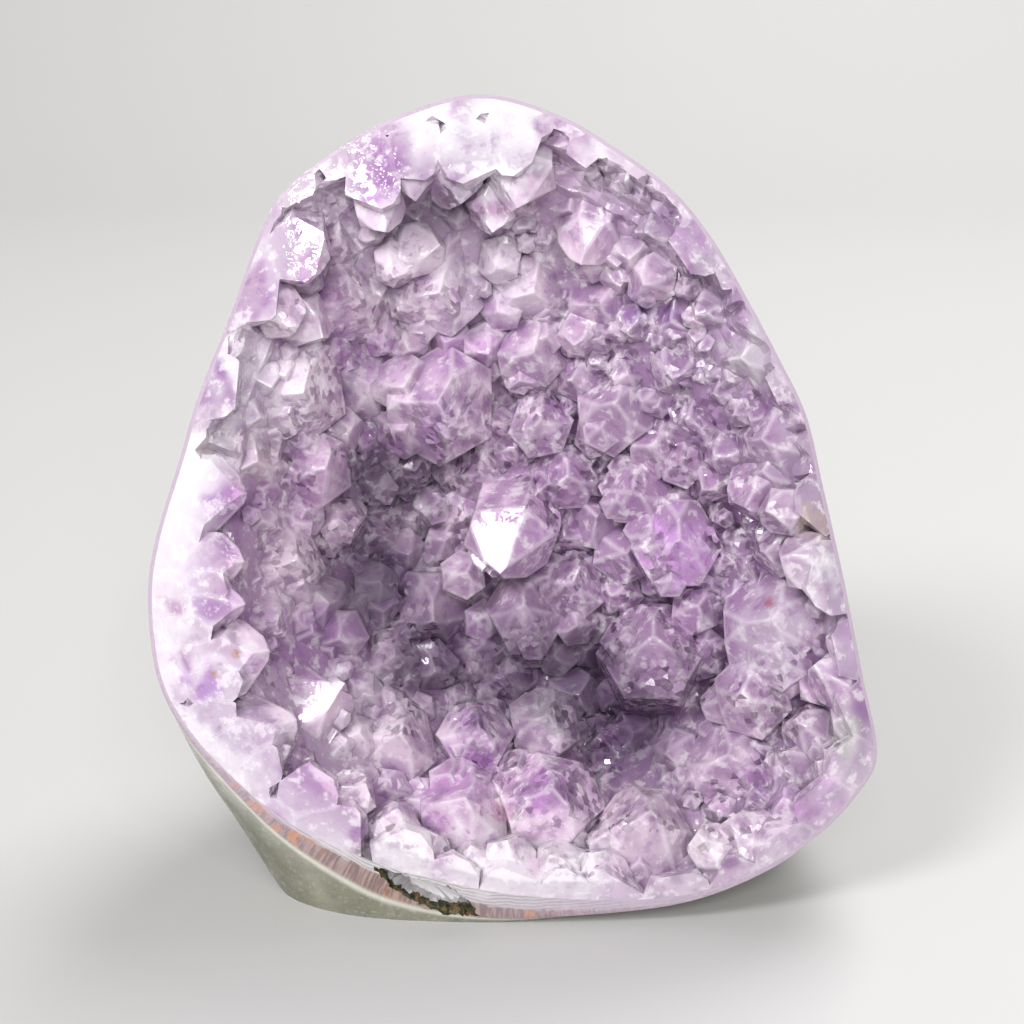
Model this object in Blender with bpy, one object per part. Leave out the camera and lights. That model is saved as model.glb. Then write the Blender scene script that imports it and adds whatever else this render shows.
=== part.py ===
"""Amethyst geode that stands on its own cut foot.

A bowl of grey-green rock is lined with quartz and amethyst points. Its front was sawn off and
ground to a low dome, so that the crystals at the rim are cut flush, and its underside was sawn
flat. Two pieces: the stone rind and the amethyst crust.

Both are modelled square to the ground front: x to the right, y up the front and z out of it,
with the origin in the middle of the rim's plane. They are then leaned back and raised into place.
The world's origin is on the foot, which lies in the plane z = 0.
"""

import math
import random

import bmesh
import bpy
import numpy as np
from mathutils import Matrix, Vector

MM = 0.001

# Stance
FACE_LEAN = math.radians(15)
FACE_HEIGHT = 47.2 * MM
FACE_FORWARD = 4.0 * MM

# The stone behind the front, which was ground to a low dome
BODY_DEPTH = 44.0 * MM
CAVITY_DEPTH = 35.5 * MM
DOME_RISE = 6.0 * MM
DOME_SQUARENESS = 4
BACK_SQUARENESS = (2.6, 0.45)
RIND_AT_RIM = 0.5 * MM
RIND_AT_BOTTOM = 3.6 * MM
FIT_GAP = 0.3 * MM
BOTTOM_ANGLE = math.radians(-100)
BOTTOM_SPREAD = 0.5

# Its uneven outside: angle in degrees, spread in radians and height in millimetres of each
# swelling, the heel it stands on, and low lumps by height and waves around and from front to back
SWELLINGS = [(-112, 0.36, 9.6), (-143, 0.20, 2.4)]
SWELLING_ENDS = 2.2
SWELLING_SQUARENESS = 0.7
HEEL = 7.5 * MM
HEEL_ANGLE = math.radians(-92)
HEEL_SPREAD = 0.75
HEEL_BACK = (0.7, 0.26)
LUMPS = [(0.7 * MM, 3, 9), (0.5 * MM, 7, -14)]
LUMPS_FULL_FROM = 0.3
THINNEST_WALL = 1.6 * MM

# The open hollow, down to the crystals' tips, with its deeper and shallower places: right, up,
# spread and depth in millimetres
HOLLOW_DEPTH = 15.0 * MM
HOLLOW_SQUARENESS = 2.6
ROOT_DEPTH = 6.0 * MM
RIM_ROOT_DEPTH = 5.0 * MM
RIM_OVERSHOOT = 5.0 * MM
DEEP_PLACES = [(-13.0, -4.0, 9.0, 6.0), (-2.0, -20.0, 9.0, 5.0), (13.0, -25.0, 8.0, 8.0)]
SHALLOW_PLACES = [(16.0, 18.0, 13.0, 5.0), (-10.0, 27.0, 9.0, 3.0)]

# Width of the ground band in millimetres, by the angle in degrees from the right, and the part of
# it over which the massive quartz rises to the front
GROUND_WIDTHS = [(0, 2.6), (30, 3.6), (60, 5.0), (90, 8.5), (120, 6.0), (150, 5.5), (180, 9.5),
                 (200, 11.0), (220, 9.5), (245, 6.5), (270, 5.0), (300, 4.0), (330, 3.0)]
ROOT_RISE = (0.1, 1.0)
ROOT_RAGGEDNESS = 0.25
# Waves to the millimetre of its uneven edge: across, how much they wander, and up
ROOT_WAVES = (1.3, 2.0, 0.9, 1.1)
ROOT_ABOVE_FRONT = 1.0 * MM
# How sharply the dome and the deep and shallow places end at the ground band
DOME_BLEND = 6
PLACES_BLEND = 8

# Shapes of the quartz points, for a radius of 1: how far the sides and the large and small faces
# stand out
PYRAMID_ANGLE = math.radians(51.8)
CRYSTAL_LENGTH = 5.0
CRYSTAL_BLOCK = 3.2
PRISM_REACH = (0.84, 1.08)
LARGE_FACES = (-0.10, 0.02)
SMALL_FACES = (0.02, 0.20)
KIND_SEED = 5
KINDS_OF_CRYSTAL = 8
THREE_FACED_BELOW = 5.4 * MM

# Rows of crystals round the wall, from the rim inwards: millimetres in from the ground band,
# millimetres below the front, smallest and largest radius in millimetres, and inward lean
WALL_ROWS = [(0.6, -3.6, 3.2, 4.8, 0.7), (3.6, 2.4, 2.6, 4.2, 1.1), (6.4, 7.0, 2.4, 4.0, 0.9)]
WALL_SPACING = 1.5
WALL_SCATTER = (-1.2, 0.8)
WALL_HEIGHT_SCATTER = 0.8
WALL_LEAN_SCATTER = 0.3
WALL_LEAN_SPREAD = (0.8, 1.25)

# Crystals wherever there is still room
FIELD_RIGHT = (-42, 42)
FIELD_UP = (-47, 48)
FARTHEST_OUT = 0.985
FILL_SEED = 11
FILL_SIZES = (2.6 * MM, 5.4 * MM)
FILL_CRYSTALS = 180
FILL_TRIES = 6000
FILL_DEEPER = (-1.0, 2.2)
FILL_LEAN = 0.8
FILL_LEAN_SCATTER = 0.25
CROWDING = 0.6
EYE_DISTANCE = 232.0 * MM

# Mesh fineness
AROUND = 46
BODY_RINGS = 9
FRONT_SHARES = (0.88, 0.955)
CRUST_FRONT_SHARES = (0.25, 0.5, 0.75, 0.9, 1.0)
ROOT_SHARES = (0.22, 0.42, 0.6, 0.72, 0.82, 0.9, 0.96, 1.0)
BACK_RING_SHARE = 0.985
RING_SPACING = 0.9
CUT_TOLERANCE = 1e-7
ROOT_BELOW_BODY = 1.0 * MM

MIDDLE = Vector((-1.0 * MM, -5.0 * MM))

# The rim of the front, in millimetres right of and above its middle, from the top clockwise
RIM = [
    (-4.0, 48.2), (5.0, 46.0), (13.0, 41.4), (18.8, 37.0), (23.2, 31.6), (27.0, 25.2),
    (30.8, 18.2), (34.2, 11.2), (36.2, 3.0), (38.6, -7.3), (41.0, -19.0), (42.8, -28.4),
    (40.4, -33.4), (36.0, -38.0), (29.4, -42.6), (19.6, -46.2), (5.6, -47.7), (-4.0, -47.5),
    (-13.6, -45.2), (-20.0, -42.2), (-27.4, -37.5), (-34.0, -31.0), (-38.6, -25.4),
    (-41.6, -19.0), (-42.5, -10.0), (-41.5, -3.0), (-38.6, 6.4), (-36.4, 13.6), (-32.6, 23.0),
    (-29.6, 31.2), (-26.6, 36.8), (-21.0, 41.4), (-13.6, 45.6),
]

# The larger crystals, in millimetres as they look from straight in front at arm's length:
# right, up, depth of the tip, radius, lean to the right, lean upwards, turn in degrees
CRYSTALS = [
    # across the top
    (6.8, 34.4, 3.0, 4.8, -0.1, -0.4, 20), (15.4, 32.0, 0.5, 4.9, -0.4, -0.4, 15),
    (-8.2, 31.0, 3.5, 3.6, 0.70, 0.05, 165), (-20.0, 30.6, 2.0, 5.2, 0.4, -0.2, 25),
    # upper middle, below the recess under the top
    (-8.2, 25.6, 4.5, 5.8, 0.1, -0.1, 12), (-18.2, 24.4, 3.5, 5.8, 0.3, -0.1, 35),
    (2.6, 25.4, 6.5, 4.9, 0.0, -0.2, 20), (10.0, 23.6, 5.0, 4.7, -0.2, -0.1, 0),
    (18.6, 21.6, 3.0, 5.6, -0.3, -0.1, 30), (26.2, 17.6, 0.0, 5.5, -0.5, -0.1, 10),
    (2.6, 18.4, 8.0, 4.3, 0.0, 0.0, 15),
    # the broad hexagon and its neighbours
    (-8.7, 12.3, 5.5, 6.9, 0.02, -0.04, 0), (-24.2, 13.6, 2.0, 6.3, 0.3, -0.1, 8),
    (12.0, 12.4, 6.5, 5.5, -0.1, 0.1, 5), (3.6, 10.0, 10.0, 4.0, 0.0, 0.1, 40),
    (20.4, 11.0, 6.0, 4.5, -0.3, 0.1, 22), (29.0, 8.4, 0.0, 5.8, -0.5, 0.0, 12),
    (-29.4, 5.8, 1.0, 5.3, 0.4, 0.0, 30), (-21.6, 4.6, 7.0, 4.0, 0.3, 0.0, 5),
    # the bright point in the middle and the pale ones on the left
    (-1.3, -7.7, 8.5, 5.1, -0.185, -0.666, 101), (-5.4, -7.8, 13.0, 2.9, 0.1, 0.2, 5),
    (-25.2, -6.0, 4.0, 5.2, 0.4, 0.1, 25), (-27.4, -13.4, 2.0, 4.4, 0.5, 0.1, 0),
    # the pink pyramid and the pale ones on the right
    (19.9, -3.7, 4.5, 5.5, -0.02, 0.12, 30), (14.0, 2.2, 8.0, 4.4, -0.1, 0.1, 25),
    (19.6, 5.0, 7.0, 2.9, -0.2, 0.0, 10), (6.4, 3.4, 11.5, 4.0, 0.0, 0.1, 33),
    (16.2, -15.0, 7.0, 6.2, -0.1, 0.45, 30), (30.0, -12.8, -0.5, 7.2, -0.3, 0.2, 3),
    (7.4, -9.0, 13.5, 4.5, 0.0, 0.2, 10), (1.4, -11.6, 13.5, 4.7, 0.0, 0.3, 30),
    # the lower left
    (-19.8, -20.8, 3.5, 4.8, 0.92, 0.657, -177), (-12.7, -26.6, 5.5, 5.4, 0.2, 0.4, 12),
    (-13.6, -17.6, 12.0, 4.3, 0.2, 0.2, 38),
    # the foot of the hollow
    (4.7, -32.4, 1.0, 6.3, 0.05, 0.5, 17), (-5.4, -33.4, 0.0, 5.6, 0.1, 0.5, 3),
    (16.2, -35.2, 0.0, 5.6, 0.0, 0.6, 25), (-4.0, -25.6, 7.0, 4.7, 0.1, 0.4, 30),
    (4.0, -24.4, 9.5, 4.5, 0.0, 0.4, 8), (25.2, -28.8, 4.0, 5.6, -0.2, 0.4, 20),
    (27.0, -21.4, 3.0, 4.5, -0.3, 0.2, 15),
    # the cut ones on the left of the rim
    (-30.4, 2.3, -3.6, 4.3, 2.2, 0.0, 0), (-30.9, -5.6, -3.6, 3.3, 2.2, 0.1, 10),
    (-31.2, -10.6, -3.6, 3.2, 2.2, 0.0, 20), (-27.9, -16.0, -3.6, 4.1, 2.0, 0.4, 5),
    (-25.0, -24.2, -3.2, 5.4, 1.7, 0.9, 12),
]

# The broken notch that runs slantwise through the rind's lower edge, in millimetres as the rim is
NOTCH = [
    (-17.4, -40.9), (-13.6, -41.6), (-10.6, -42.7), (-7.6, -43.3), (-4.2, -45.6), (-2.4, -48.2),
    (-6.6, -48.4), (-10.0, -47.2), (-13.0, -45.4), (-15.4, -43.6),
]
NOTCH_DEPTH = 6.0 * MM
NOTCH_NARROWING = 0.6

ROCK_COLOUR = (0.26, 0.265, 0.205)
ROCK_ROUGHNESS = 0.35
AMETHYST_COLOUR = (0.48, 0.29, 0.50)
AMETHYST_ROUGHNESS = 0.12


def rim_outline(steps_between=16):
    """The rim as a smooth closed line through its points: angles and radii about MIDDLE."""
    polar_points = []
    count = len(RIM)
    for index in range(count):
        before, start, end, after = (Vector(RIM[(index + shift) % count]) for shift in (-1, 0, 1, 2))
        for step in range(steps_between):
            t = step / steps_between
            point = 0.5 * (2 * start + (end - before) * t
                           + (2 * before - 5 * start + 4 * end - after) * t ** 2
                           + (3 * start - before - 3 * end + after) * t ** 3)
            arm = point * MM - MIDDLE
            polar_points.append((math.atan2(arm.y, arm.x), arm.length))
    return np.array(sorted(polar_points)).T


OUTLINE = rim_outline()


def rim_radius(angle):
    """Distance from MIDDLE to the rim at one angle or many."""
    return np.interp(angle, *OUTLINE, period=math.tau)


def around(angle, centre, spread):
    """A smooth bump of height 1 about one angle."""
    away = np.arctan2(np.sin(angle - centre), np.cos(angle - centre))
    return np.exp(-(away / spread) ** 2)


def smoothstep(low, high, value):
    t = np.clip((value - low) / (high - low), 0, 1)
    return t * t * (3 - 2 * t)


def dome(reach):
    """Height of the ground front above the rim's plane, at a share of the way to the rim."""
    return DOME_RISE * (1 - np.minimum(reach, 1) ** DOME_SQUARENESS)


def taper(depth, full_depth):
    """How much a round-backed form has closed in at a depth: 1 at the front, 0 at the back."""
    inner, outer = BACK_SQUARENESS
    return (1 - min(max(depth / full_depth, 0), 1) ** inner) ** outer


def rind_wall(angle):
    """Thickness of the rind at the rim: thin, but thick along the lower edge."""
    return RIND_AT_RIM + (RIND_AT_BOTTOM - RIND_AT_RIM) * around(angle, BOTTOM_ANGLE, BOTTOM_SPREAD)


def body_radius(angle, depth):
    """Reach of the rock's outside at one depth, with its swellings, its heel and its lumps."""
    back = depth / BODY_DEPTH
    swelling = sum(height * MM * around(angle, math.radians(centre), spread)
                   for centre, spread, height in SWELLINGS)
    swelling = swelling * math.sin(math.pi * min(back * SWELLING_ENDS, 1)) ** SWELLING_SQUARENESS
    along, spread = HEEL_BACK
    swelling += HEEL * around(angle, HEEL_ANGLE, HEEL_SPREAD) * math.exp(-((back - along) / spread) ** 2)
    lumps = sum(height * np.sin(waves * angle + back_waves * back) for height, waves, back_waves in LUMPS)
    away_from_rim = smoothstep(0, LUMPS_FULL_FROM, back)
    outside = rim_radius(angle) * taper(depth, BODY_DEPTH) + swelling + lumps * away_from_rim
    return np.maximum(outside, cavity_radius(angle, depth, 0) + THINNEST_WALL * away_from_rim)


def cavity_radius(angle, depth, clearance):
    """Reach of the wall between rind and crust at one depth."""
    front = rim_radius(angle) - rind_wall(angle) - clearance
    return front * taper(depth, CAVITY_DEPTH - clearance)


def ring(angle, radius, height):
    """Points by their angles and distances from MIDDLE and their height out of the rim's plane."""
    flat = [MIDDLE.x + radius * np.cos(angle), MIDDLE.y + radius * np.sin(angle)]
    return np.stack([*flat, np.broadcast_to(height, np.shape(angle))], axis=-1)


def polar(x, y):
    """Angle about MIDDLE of a place on the front, and its share of the way to the rim."""
    angle = np.arctan2(y - MIDDLE.y, x - MIDDLE.x)
    return angle, np.hypot(x - MIDDLE.x, y - MIDDLE.y) / rim_radius(angle)


def band_share(angle):
    """Share of the way to the rim at which the ground band begins."""
    degrees, widths = zip(*GROUND_WIDTHS)
    return 1 - np.interp(np.degrees(angle), degrees, widths, period=360) * MM / rim_radius(angle)


def tip_depth(x, y):
    """How deep the crystals' tips lie below the rim's plane at a place in the hollow."""
    angle, reach = polar(x, y)
    band = band_share(angle)
    inward = np.minimum(reach / band, 1)
    depth = HOLLOW_DEPTH * (1 - inward ** HOLLOW_SQUARENESS) - dome(reach) * inward ** DOME_BLEND
    for places, sign in ((DEEP_PLACES, 1), (SHALLOW_PLACES, -1)):
        for right, up, spread, amount in places:
            away = np.hypot(x / MM - right, y / MM - up) / spread
            depth = depth + sign * amount * MM * np.exp(-away ** 2) * (1 - inward ** PLACES_BLEND)
    return np.where(reach > band, -dome(reach) - RIM_OVERSHOOT, depth)


def root_height(x, y):
    """Height of the massive quartz that the crystals stand on."""
    angle, reach = polar(x, y)
    band = band_share(angle)
    across, wander, wander_up, up = ROOT_WAVES
    ragged = np.sin(x / MM * across + wander * np.sin(y / MM * wander_up)) * np.sin(y / MM * up)
    along = (reach - band) / (1 - band) + ROOT_RAGGEDNESS * ragged
    in_hollow = -tip_depth(x, y) - ROOT_DEPTH
    in_hollow = np.where(reach > band, dome(reach) - RIM_ROOT_DEPTH, in_hollow)
    in_rim = dome(reach) + ROOT_ABOVE_FRONT
    return in_hollow + (in_rim - in_hollow) * smoothstep(*ROOT_RISE, along)


def loft(name, rings, front_point, back_point):
    """A closed object through rings of points, from the front one to the back one."""
    mesh = bmesh.new()
    rows = [[mesh.verts.new(point) for point in points] for points in rings]
    count = len(rows[0])
    for front_row, back_row in zip(rows, rows[1:]):
        for index in range(count):
            after = (index + 1) % count
            mesh.faces.new((front_row[index], back_row[index], back_row[after], front_row[after]))
    for row, point, forward in ((rows[0], front_point, True), (rows[-1], back_point, False)):
        pole = mesh.verts.new(point)
        for index in range(count):
            after = (index + 1) % count
            corners = (row[index], row[after], pole)
            mesh.faces.new(corners if forward else corners[::-1])
    bmesh.ops.triangulate(mesh, faces=mesh.faces[:])
    bmesh.ops.recalc_face_normals(mesh, faces=mesh.faces[:])
    return finish_mesh(name, mesh)


def finish_mesh(name, mesh):
    """Turn a bmesh into an object that stands with the leaned-back front."""
    data = bpy.data.meshes.new(name)
    mesh.to_mesh(data)
    mesh.free()
    piece = bpy.data.objects.new(name, data)
    piece.parent = front
    bpy.context.collection.objects.link(piece)
    return piece


def as_tool(piece):
    """Mark an object as a cutter or a guide, which is no part of the geode."""
    piece.hide_render = True
    piece.display_type = "WIRE"
    return piece


def combine(target, operation, other):
    """Add or take away another solid with a live Boolean."""
    change = target.modifiers.new(f"{operation.lower()}_{other.name}", "BOOLEAN")
    change.operation = operation
    change.solver = "EXACT"
    change.object = other
    return change


def angles():
    return np.arange(AROUND) * math.tau / AROUND


def rock_body():
    """The whole outside of the stone as sawn and ground, without its hollow."""
    turn = angles()
    rings = [ring(turn, rim_radius(turn) * share, dome(share)) for share in FRONT_SHARES]
    for step in range(BODY_RINGS):
        depth = BODY_DEPTH * BACK_RING_SHARE * (step / (BODY_RINGS - 1)) ** RING_SPACING
        rings.append(ring(turn, body_radius(turn, depth), -depth))
    return loft("stone_rind", rings, (*MIDDLE, DOME_RISE), (*MIDDLE, -BODY_DEPTH))


def cavity(name, clearance, domed):
    """The space inside the rind. Domed, it ends in the ground front, and otherwise ahead of it."""
    full_depth = CAVITY_DEPTH - clearance
    front_height = DOME_RISE if domed else 2 * DOME_RISE
    turn = angles()
    rings = []
    for share in CRUST_FRONT_SHARES if domed else (1.0,):
        radius = cavity_radius(turn, 0, clearance) * share
        rings.append(ring(turn, radius, dome(radius / rim_radius(turn)) if domed else front_height))
    for step in range(1, BODY_RINGS):
        depth = full_depth * BACK_RING_SHARE * (step / (BODY_RINGS - 1)) ** RING_SPACING
        rings.append(ring(turn, cavity_radius(turn, depth, clearance), -depth))
    return loft(name, rings, (*MIDDLE, front_height), (*MIDDLE, -full_depth))


def crust_base():
    """The massive quartz under the crystals: its front is uneven and its back lies in the rock."""
    turn = angles()
    rings = []
    for share in ROOT_SHARES:
        points = ring(turn, rim_radius(turn) * share, 0)
        points[:, 2] = root_height(points[:, 0], points[:, 1])
        rings.append(points)
    rings.append(ring(turn, rim_radius(turn) * ROOT_SHARES[-2], -BODY_DEPTH))
    middle = (*MIDDLE, float(root_height(*MIDDLE)))
    return loft("crust_base", rings, middle, (*MIDDLE, -BODY_DEPTH - ROOT_BELOW_BODY))


def slice_off(mesh, point, outward):
    """Cut a convex mesh with a plane, keep what is behind it and close the cut."""
    parts = mesh.verts[:] + mesh.edges[:] + mesh.faces[:]
    cut = bmesh.ops.bisect_plane(mesh, geom=parts, plane_co=point, plane_no=outward,
                                 dist=CUT_TOLERANCE, clear_outer=True)
    edges = [part for part in cut["geom_cut"] if isinstance(part, bmesh.types.BMEdge)]
    if edges:
        bmesh.ops.holes_fill(mesh, edges=edges, sides=0)


def crystal_kinds():
    """Quartz points of radius 1 with the tip near the origin, each by its faces' planes.

    Every second pyramid face is a small one, and comes last, so that a small crystal can go
    without.
    """
    chance = random.Random(KIND_SEED)
    kinds = []
    for number in range(KINDS_OF_CRYSTAL):
        main, small = [], []
        for side in range(6):
            angle = side * math.tau / 6
            outward = Vector((math.cos(angle), math.sin(angle), 0))
            main.append((outward, chance.uniform(*PRISM_REACH)))
            slope = outward * math.sin(PYRAMID_ANGLE) + Vector((0, 0, math.cos(PYRAMID_ANGLE)))
            if side % 2:
                small.append((slope, chance.uniform(*SMALL_FACES)))
            else:
                main.append((slope, chance.uniform(*LARGE_FACES)))
        kinds.append((main, small))
    return kinds


def crystal_places():
    """Tip, axis, turn, radius and kind of every crystal."""
    chance = random.Random(FILL_SEED)
    places = []
    taken = []

    def stand(x, y, depth, radius, lean, turn):
        axis = Vector((lean[0], lean[1], 1)).normalized()
        places.append((Vector((x, y, -depth)), axis, turn, radius, chance.randrange(KINDS_OF_CRYSTAL)))

    def crowded(x, y, radius):
        return any(math.hypot(x - a, y - b) < CROWDING * (radius + r) for a, b, r in taken)

    for right, up, depth, radius, lean_right, lean_up, turn in CRYSTALS:
        further = 1 + depth * MM / EYE_DISTANCE
        x, y = right * MM * further, up * MM * further
        taken.append((x, y, radius * MM))
        stand(x, y, depth * MM, radius * MM, (lean_right, lean_up), math.radians(turn))

    wall = []
    for inside, below, smallest, largest, strength in WALL_ROWS:
        angle = 0.0
        while angle < math.tau:
            radius = chance.uniform(smallest, largest) * MM
            reach = band_share(angle) * rim_radius(angle) - inside * MM + chance.uniform(*WALL_SCATTER) * MM
            x, y = MIDDLE.x + reach * math.cos(angle), MIDDLE.y + reach * math.sin(angle)
            height = dome(reach / rim_radius(angle)) - below * MM
            height += chance.uniform(-WALL_HEIGHT_SCATTER, WALL_HEIGHT_SCATTER) * MM
            lean = (MIDDLE - Vector((x, y))).normalized() * strength * chance.uniform(*WALL_LEAN_SPREAD)
            lean += Vector((chance.uniform(-WALL_LEAN_SCATTER, WALL_LEAN_SCATTER),
                            chance.uniform(-WALL_LEAN_SCATTER, WALL_LEAN_SCATTER)))
            turn = chance.uniform(0, math.tau)
            angle += WALL_SPACING * radius / reach
            if not crowded(x, y, radius):
                stand(x, y, -height, radius, lean, turn)
                wall.append((x, y, radius))
    taken += wall

    placed = 0
    for attempt in range(FILL_TRIES):
        x = chance.uniform(*FIELD_RIGHT) * MM
        y = chance.uniform(*FIELD_UP) * MM
        radius = chance.uniform(*FILL_SIZES)
        angle, reach = polar(x, y)
        if reach > FARTHEST_OUT or crowded(x, y, radius):
            continue
        depth = float(tip_depth(x, y)) + chance.uniform(*FILL_DEEPER) * MM
        lean = (MIDDLE - Vector((x, y))).normalized() * FILL_LEAN * reach ** 2
        lean += Vector((chance.uniform(-FILL_LEAN_SCATTER, FILL_LEAN_SCATTER),
                        chance.uniform(-FILL_LEAN_SCATTER, FILL_LEAN_SCATTER)))
        stand(x, y, depth, radius, lean, chance.uniform(0, math.tau))
        taken.append((x, y, radius))
        placed += 1
        if placed == FILL_CRYSTALS:
            break
    return places


def crystal_mesh(planes):
    """A long block cut down to a quartz point by the planes of its faces."""
    mesh = bmesh.new()
    bmesh.ops.create_cube(mesh, size=1, matrix=Matrix.Translation((0, 0, -CRYSTAL_LENGTH / 2))
                          @ Matrix.Diagonal((CRYSTAL_BLOCK, CRYSTAL_BLOCK, CRYSTAL_LENGTH, 1)))
    for outward, reach in planes:
        slice_off(mesh, outward * reach, outward)
    return mesh


def all_crystals():
    """Every crystal at its place, as one object of overlapping solids."""
    kinds = crystal_kinds()
    together = bmesh.new()
    for tip, axis, turn, radius, kind in crystal_places():
        main, small = kinds[kind]
        crystal = crystal_mesh(main if radius < THREE_FACED_BELOW else main + small)
        upright = Vector((0, 0, 1)).rotation_difference(axis).to_matrix().to_4x4()
        crystal.transform(Matrix.Translation(tip) @ upright @ Matrix.Rotation(turn, 4, "Z")
                          @ Matrix.Scale(radius, 4))
        data = bpy.data.meshes.new("crystal")
        crystal.to_mesh(data)
        crystal.free()
        together.from_mesh(data)
        bpy.data.meshes.remove(data)
    return finish_mesh("crystals", together)


def keep_largest_shell(data):
    """Drop the closed pockets that crowding crystals leave between them."""
    mesh = bmesh.new()
    mesh.from_mesh(data)
    unseen = set(mesh.faces)
    shells = []
    while unseen:
        shell = [unseen.pop()]
        for face in shell:
            for edge in face.edges:
                for near in edge.link_faces:
                    if near in unseen:
                        unseen.remove(near)
                        shell.append(near)
        shells.append(shell)
    shells.sort(key=len)
    lost = [face for shell in shells[:-1] for face in shell]
    bmesh.ops.delete(mesh, geom=lost, context="FACES")
    mesh.to_mesh(data)
    mesh.free()


def apply_all(piece):
    """Replace an object's mesh by what its modifiers make of it."""
    bpy.context.view_layer.update()
    made = bpy.data.meshes.new_from_object(piece.evaluated_get(bpy.context.evaluated_depsgraph_get()))
    piece.modifiers.clear()
    piece.data = made


def material(name, colour, roughness):
    finish = bpy.data.materials.new(name)
    finish.use_nodes = True
    shader = finish.node_tree.nodes["Principled BSDF"]
    shader.inputs["Base Color"].default_value = (*colour, 1)
    shader.inputs["Roughness"].default_value = roughness
    shader.inputs["Metallic"].default_value = 0
    finish.diffuse_color = (*colour, 1)
    return finish


def foot_saw():
    """A block under the plane that the stone stands on."""
    mesh = bmesh.new()
    bmesh.ops.create_cube(mesh, size=2 * BODY_DEPTH, matrix=Matrix.Translation((0, 0, -BODY_DEPTH)))
    saw = finish_mesh("foot_saw", mesh)
    saw.parent = None
    return as_tool(saw)


def notch():
    """A tapering wedge with a broken outline, from in front of the rim into the rind."""
    middle = sum((Vector(point) for point in NOTCH), Vector((0, 0))) / len(NOTCH)
    mesh = bmesh.new()
    rows = []
    for height, share in ((DOME_RISE, 1), (-NOTCH_DEPTH, NOTCH_NARROWING)):
        flat = [middle + (Vector(point) - middle) * share for point in NOTCH]
        rows.append([mesh.verts.new((point.x * MM, point.y * MM, height)) for point in flat])
    mesh.faces.new(rows[0])
    mesh.faces.new(rows[1][::-1])
    for index in range(len(NOTCH)):
        after = (index + 1) % len(NOTCH)
        mesh.faces.new((rows[0][index], rows[1][index], rows[1][after], rows[0][after]))
    bmesh.ops.recalc_face_normals(mesh, faces=mesh.faces[:])
    return as_tool(finish_mesh("notch", mesh))


def stone_rind():
    """The rock with its hollow, its flat foot and the notch."""
    rind = rock_body()
    combine(rind, "DIFFERENCE", as_tool(cavity("cavity", 0, domed=False)))
    combine(rind, "DIFFERENCE", foot_saw())
    combine(rind, "DIFFERENCE", notch())
    rind.data.materials.append(material("grey_green_rock", ROCK_COLOUR, ROCK_ROUGHNESS))
    return rind


def amethyst_crust():
    """The quartz base and the crystals in one solid, bounded by the rind and the ground front."""
    crust = crust_base()
    crust.name = "amethyst_crust"
    grown = combine(crust, "UNION", as_tool(all_crystals()))
    grown.use_self = True
    combine(crust, "INTERSECT", as_tool(cavity("crust_space", FIT_GAP, domed=True)))
    apply_all(crust)
    keep_largest_shell(crust.data)
    crust.data.materials.clear()
    crust.data.materials.append(material("amethyst", AMETHYST_COLOUR, AMETHYST_ROUGHNESS))
    return crust


for leftover in list(bpy.data.objects):
    bpy.data.objects.remove(leftover)

front = bpy.data.objects.new("front", None)
front.location = (0, -FACE_FORWARD, FACE_HEIGHT)
front.rotation_euler = (math.pi / 2 - FACE_LEAN, 0, 0)
bpy.context.collection.objects.link(front)
bpy.context.view_layer.update()

stone_rind()
amethyst_crust()
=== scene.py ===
"""Amethyst geode on a pale floor: the ground stone rind and the crust of crystals inside it."""

import math
import random

import bmesh
import bpy
import numpy as np
from mathutils import Matrix, Vector
from mathutils import noise as noise_field


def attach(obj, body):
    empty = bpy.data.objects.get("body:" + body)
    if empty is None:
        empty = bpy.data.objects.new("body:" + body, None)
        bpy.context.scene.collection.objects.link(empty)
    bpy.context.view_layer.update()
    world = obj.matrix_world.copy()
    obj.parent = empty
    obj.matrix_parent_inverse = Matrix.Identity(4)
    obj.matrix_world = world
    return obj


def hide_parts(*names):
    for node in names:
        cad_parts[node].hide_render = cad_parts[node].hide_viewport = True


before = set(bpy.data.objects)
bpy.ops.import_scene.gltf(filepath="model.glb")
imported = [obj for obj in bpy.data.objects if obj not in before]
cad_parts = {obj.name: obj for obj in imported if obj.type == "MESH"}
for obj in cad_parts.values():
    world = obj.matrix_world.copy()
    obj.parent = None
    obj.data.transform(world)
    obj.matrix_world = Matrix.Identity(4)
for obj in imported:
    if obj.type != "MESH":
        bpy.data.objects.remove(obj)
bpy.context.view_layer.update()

# Stone rind
# The outer stone of the geode: green-grey rock, a thin red-brown seam and a band of white agate
# that shows along the lower edge. Its front was sawn off and ground, its foot was sawn flat, and
# its outside was rubbed smooth. A piece has broken out of the lower edge.

MM = 0.001
FACE_LEAN = math.radians(15)
FACE_HEIGHT = 47.2 * MM
FACE_FORWARD = 4.0 * MM
BODY_DEPTH = 44.0 * MM
CAVITY_DEPTH = 35.5 * MM
DOME_RISE = 6.0 * MM
DOME_SQUARENESS = 4
BACK_SQUARENESS = (2.6, 0.45)
RIND_AT_RIM = 0.5 * MM
RIND_AT_BOTTOM = 3.6 * MM
BOTTOM_ANGLE = math.radians(-100)
BOTTOM_SPREAD = 0.5
# Swellings by angle in degrees, spread in radians and height in millimetres
SWELLINGS = [(-112, 0.36, 9.6), (-143, 0.20, 2.4)]
SWELLING_ENDS = 2.2
SWELLING_SQUARENESS = 0.7
HEEL = 7.5 * MM
HEEL_ANGLE = math.radians(-92)
HEEL_SPREAD = 0.75
HEEL_BACK = (0.7, 0.26)
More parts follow.
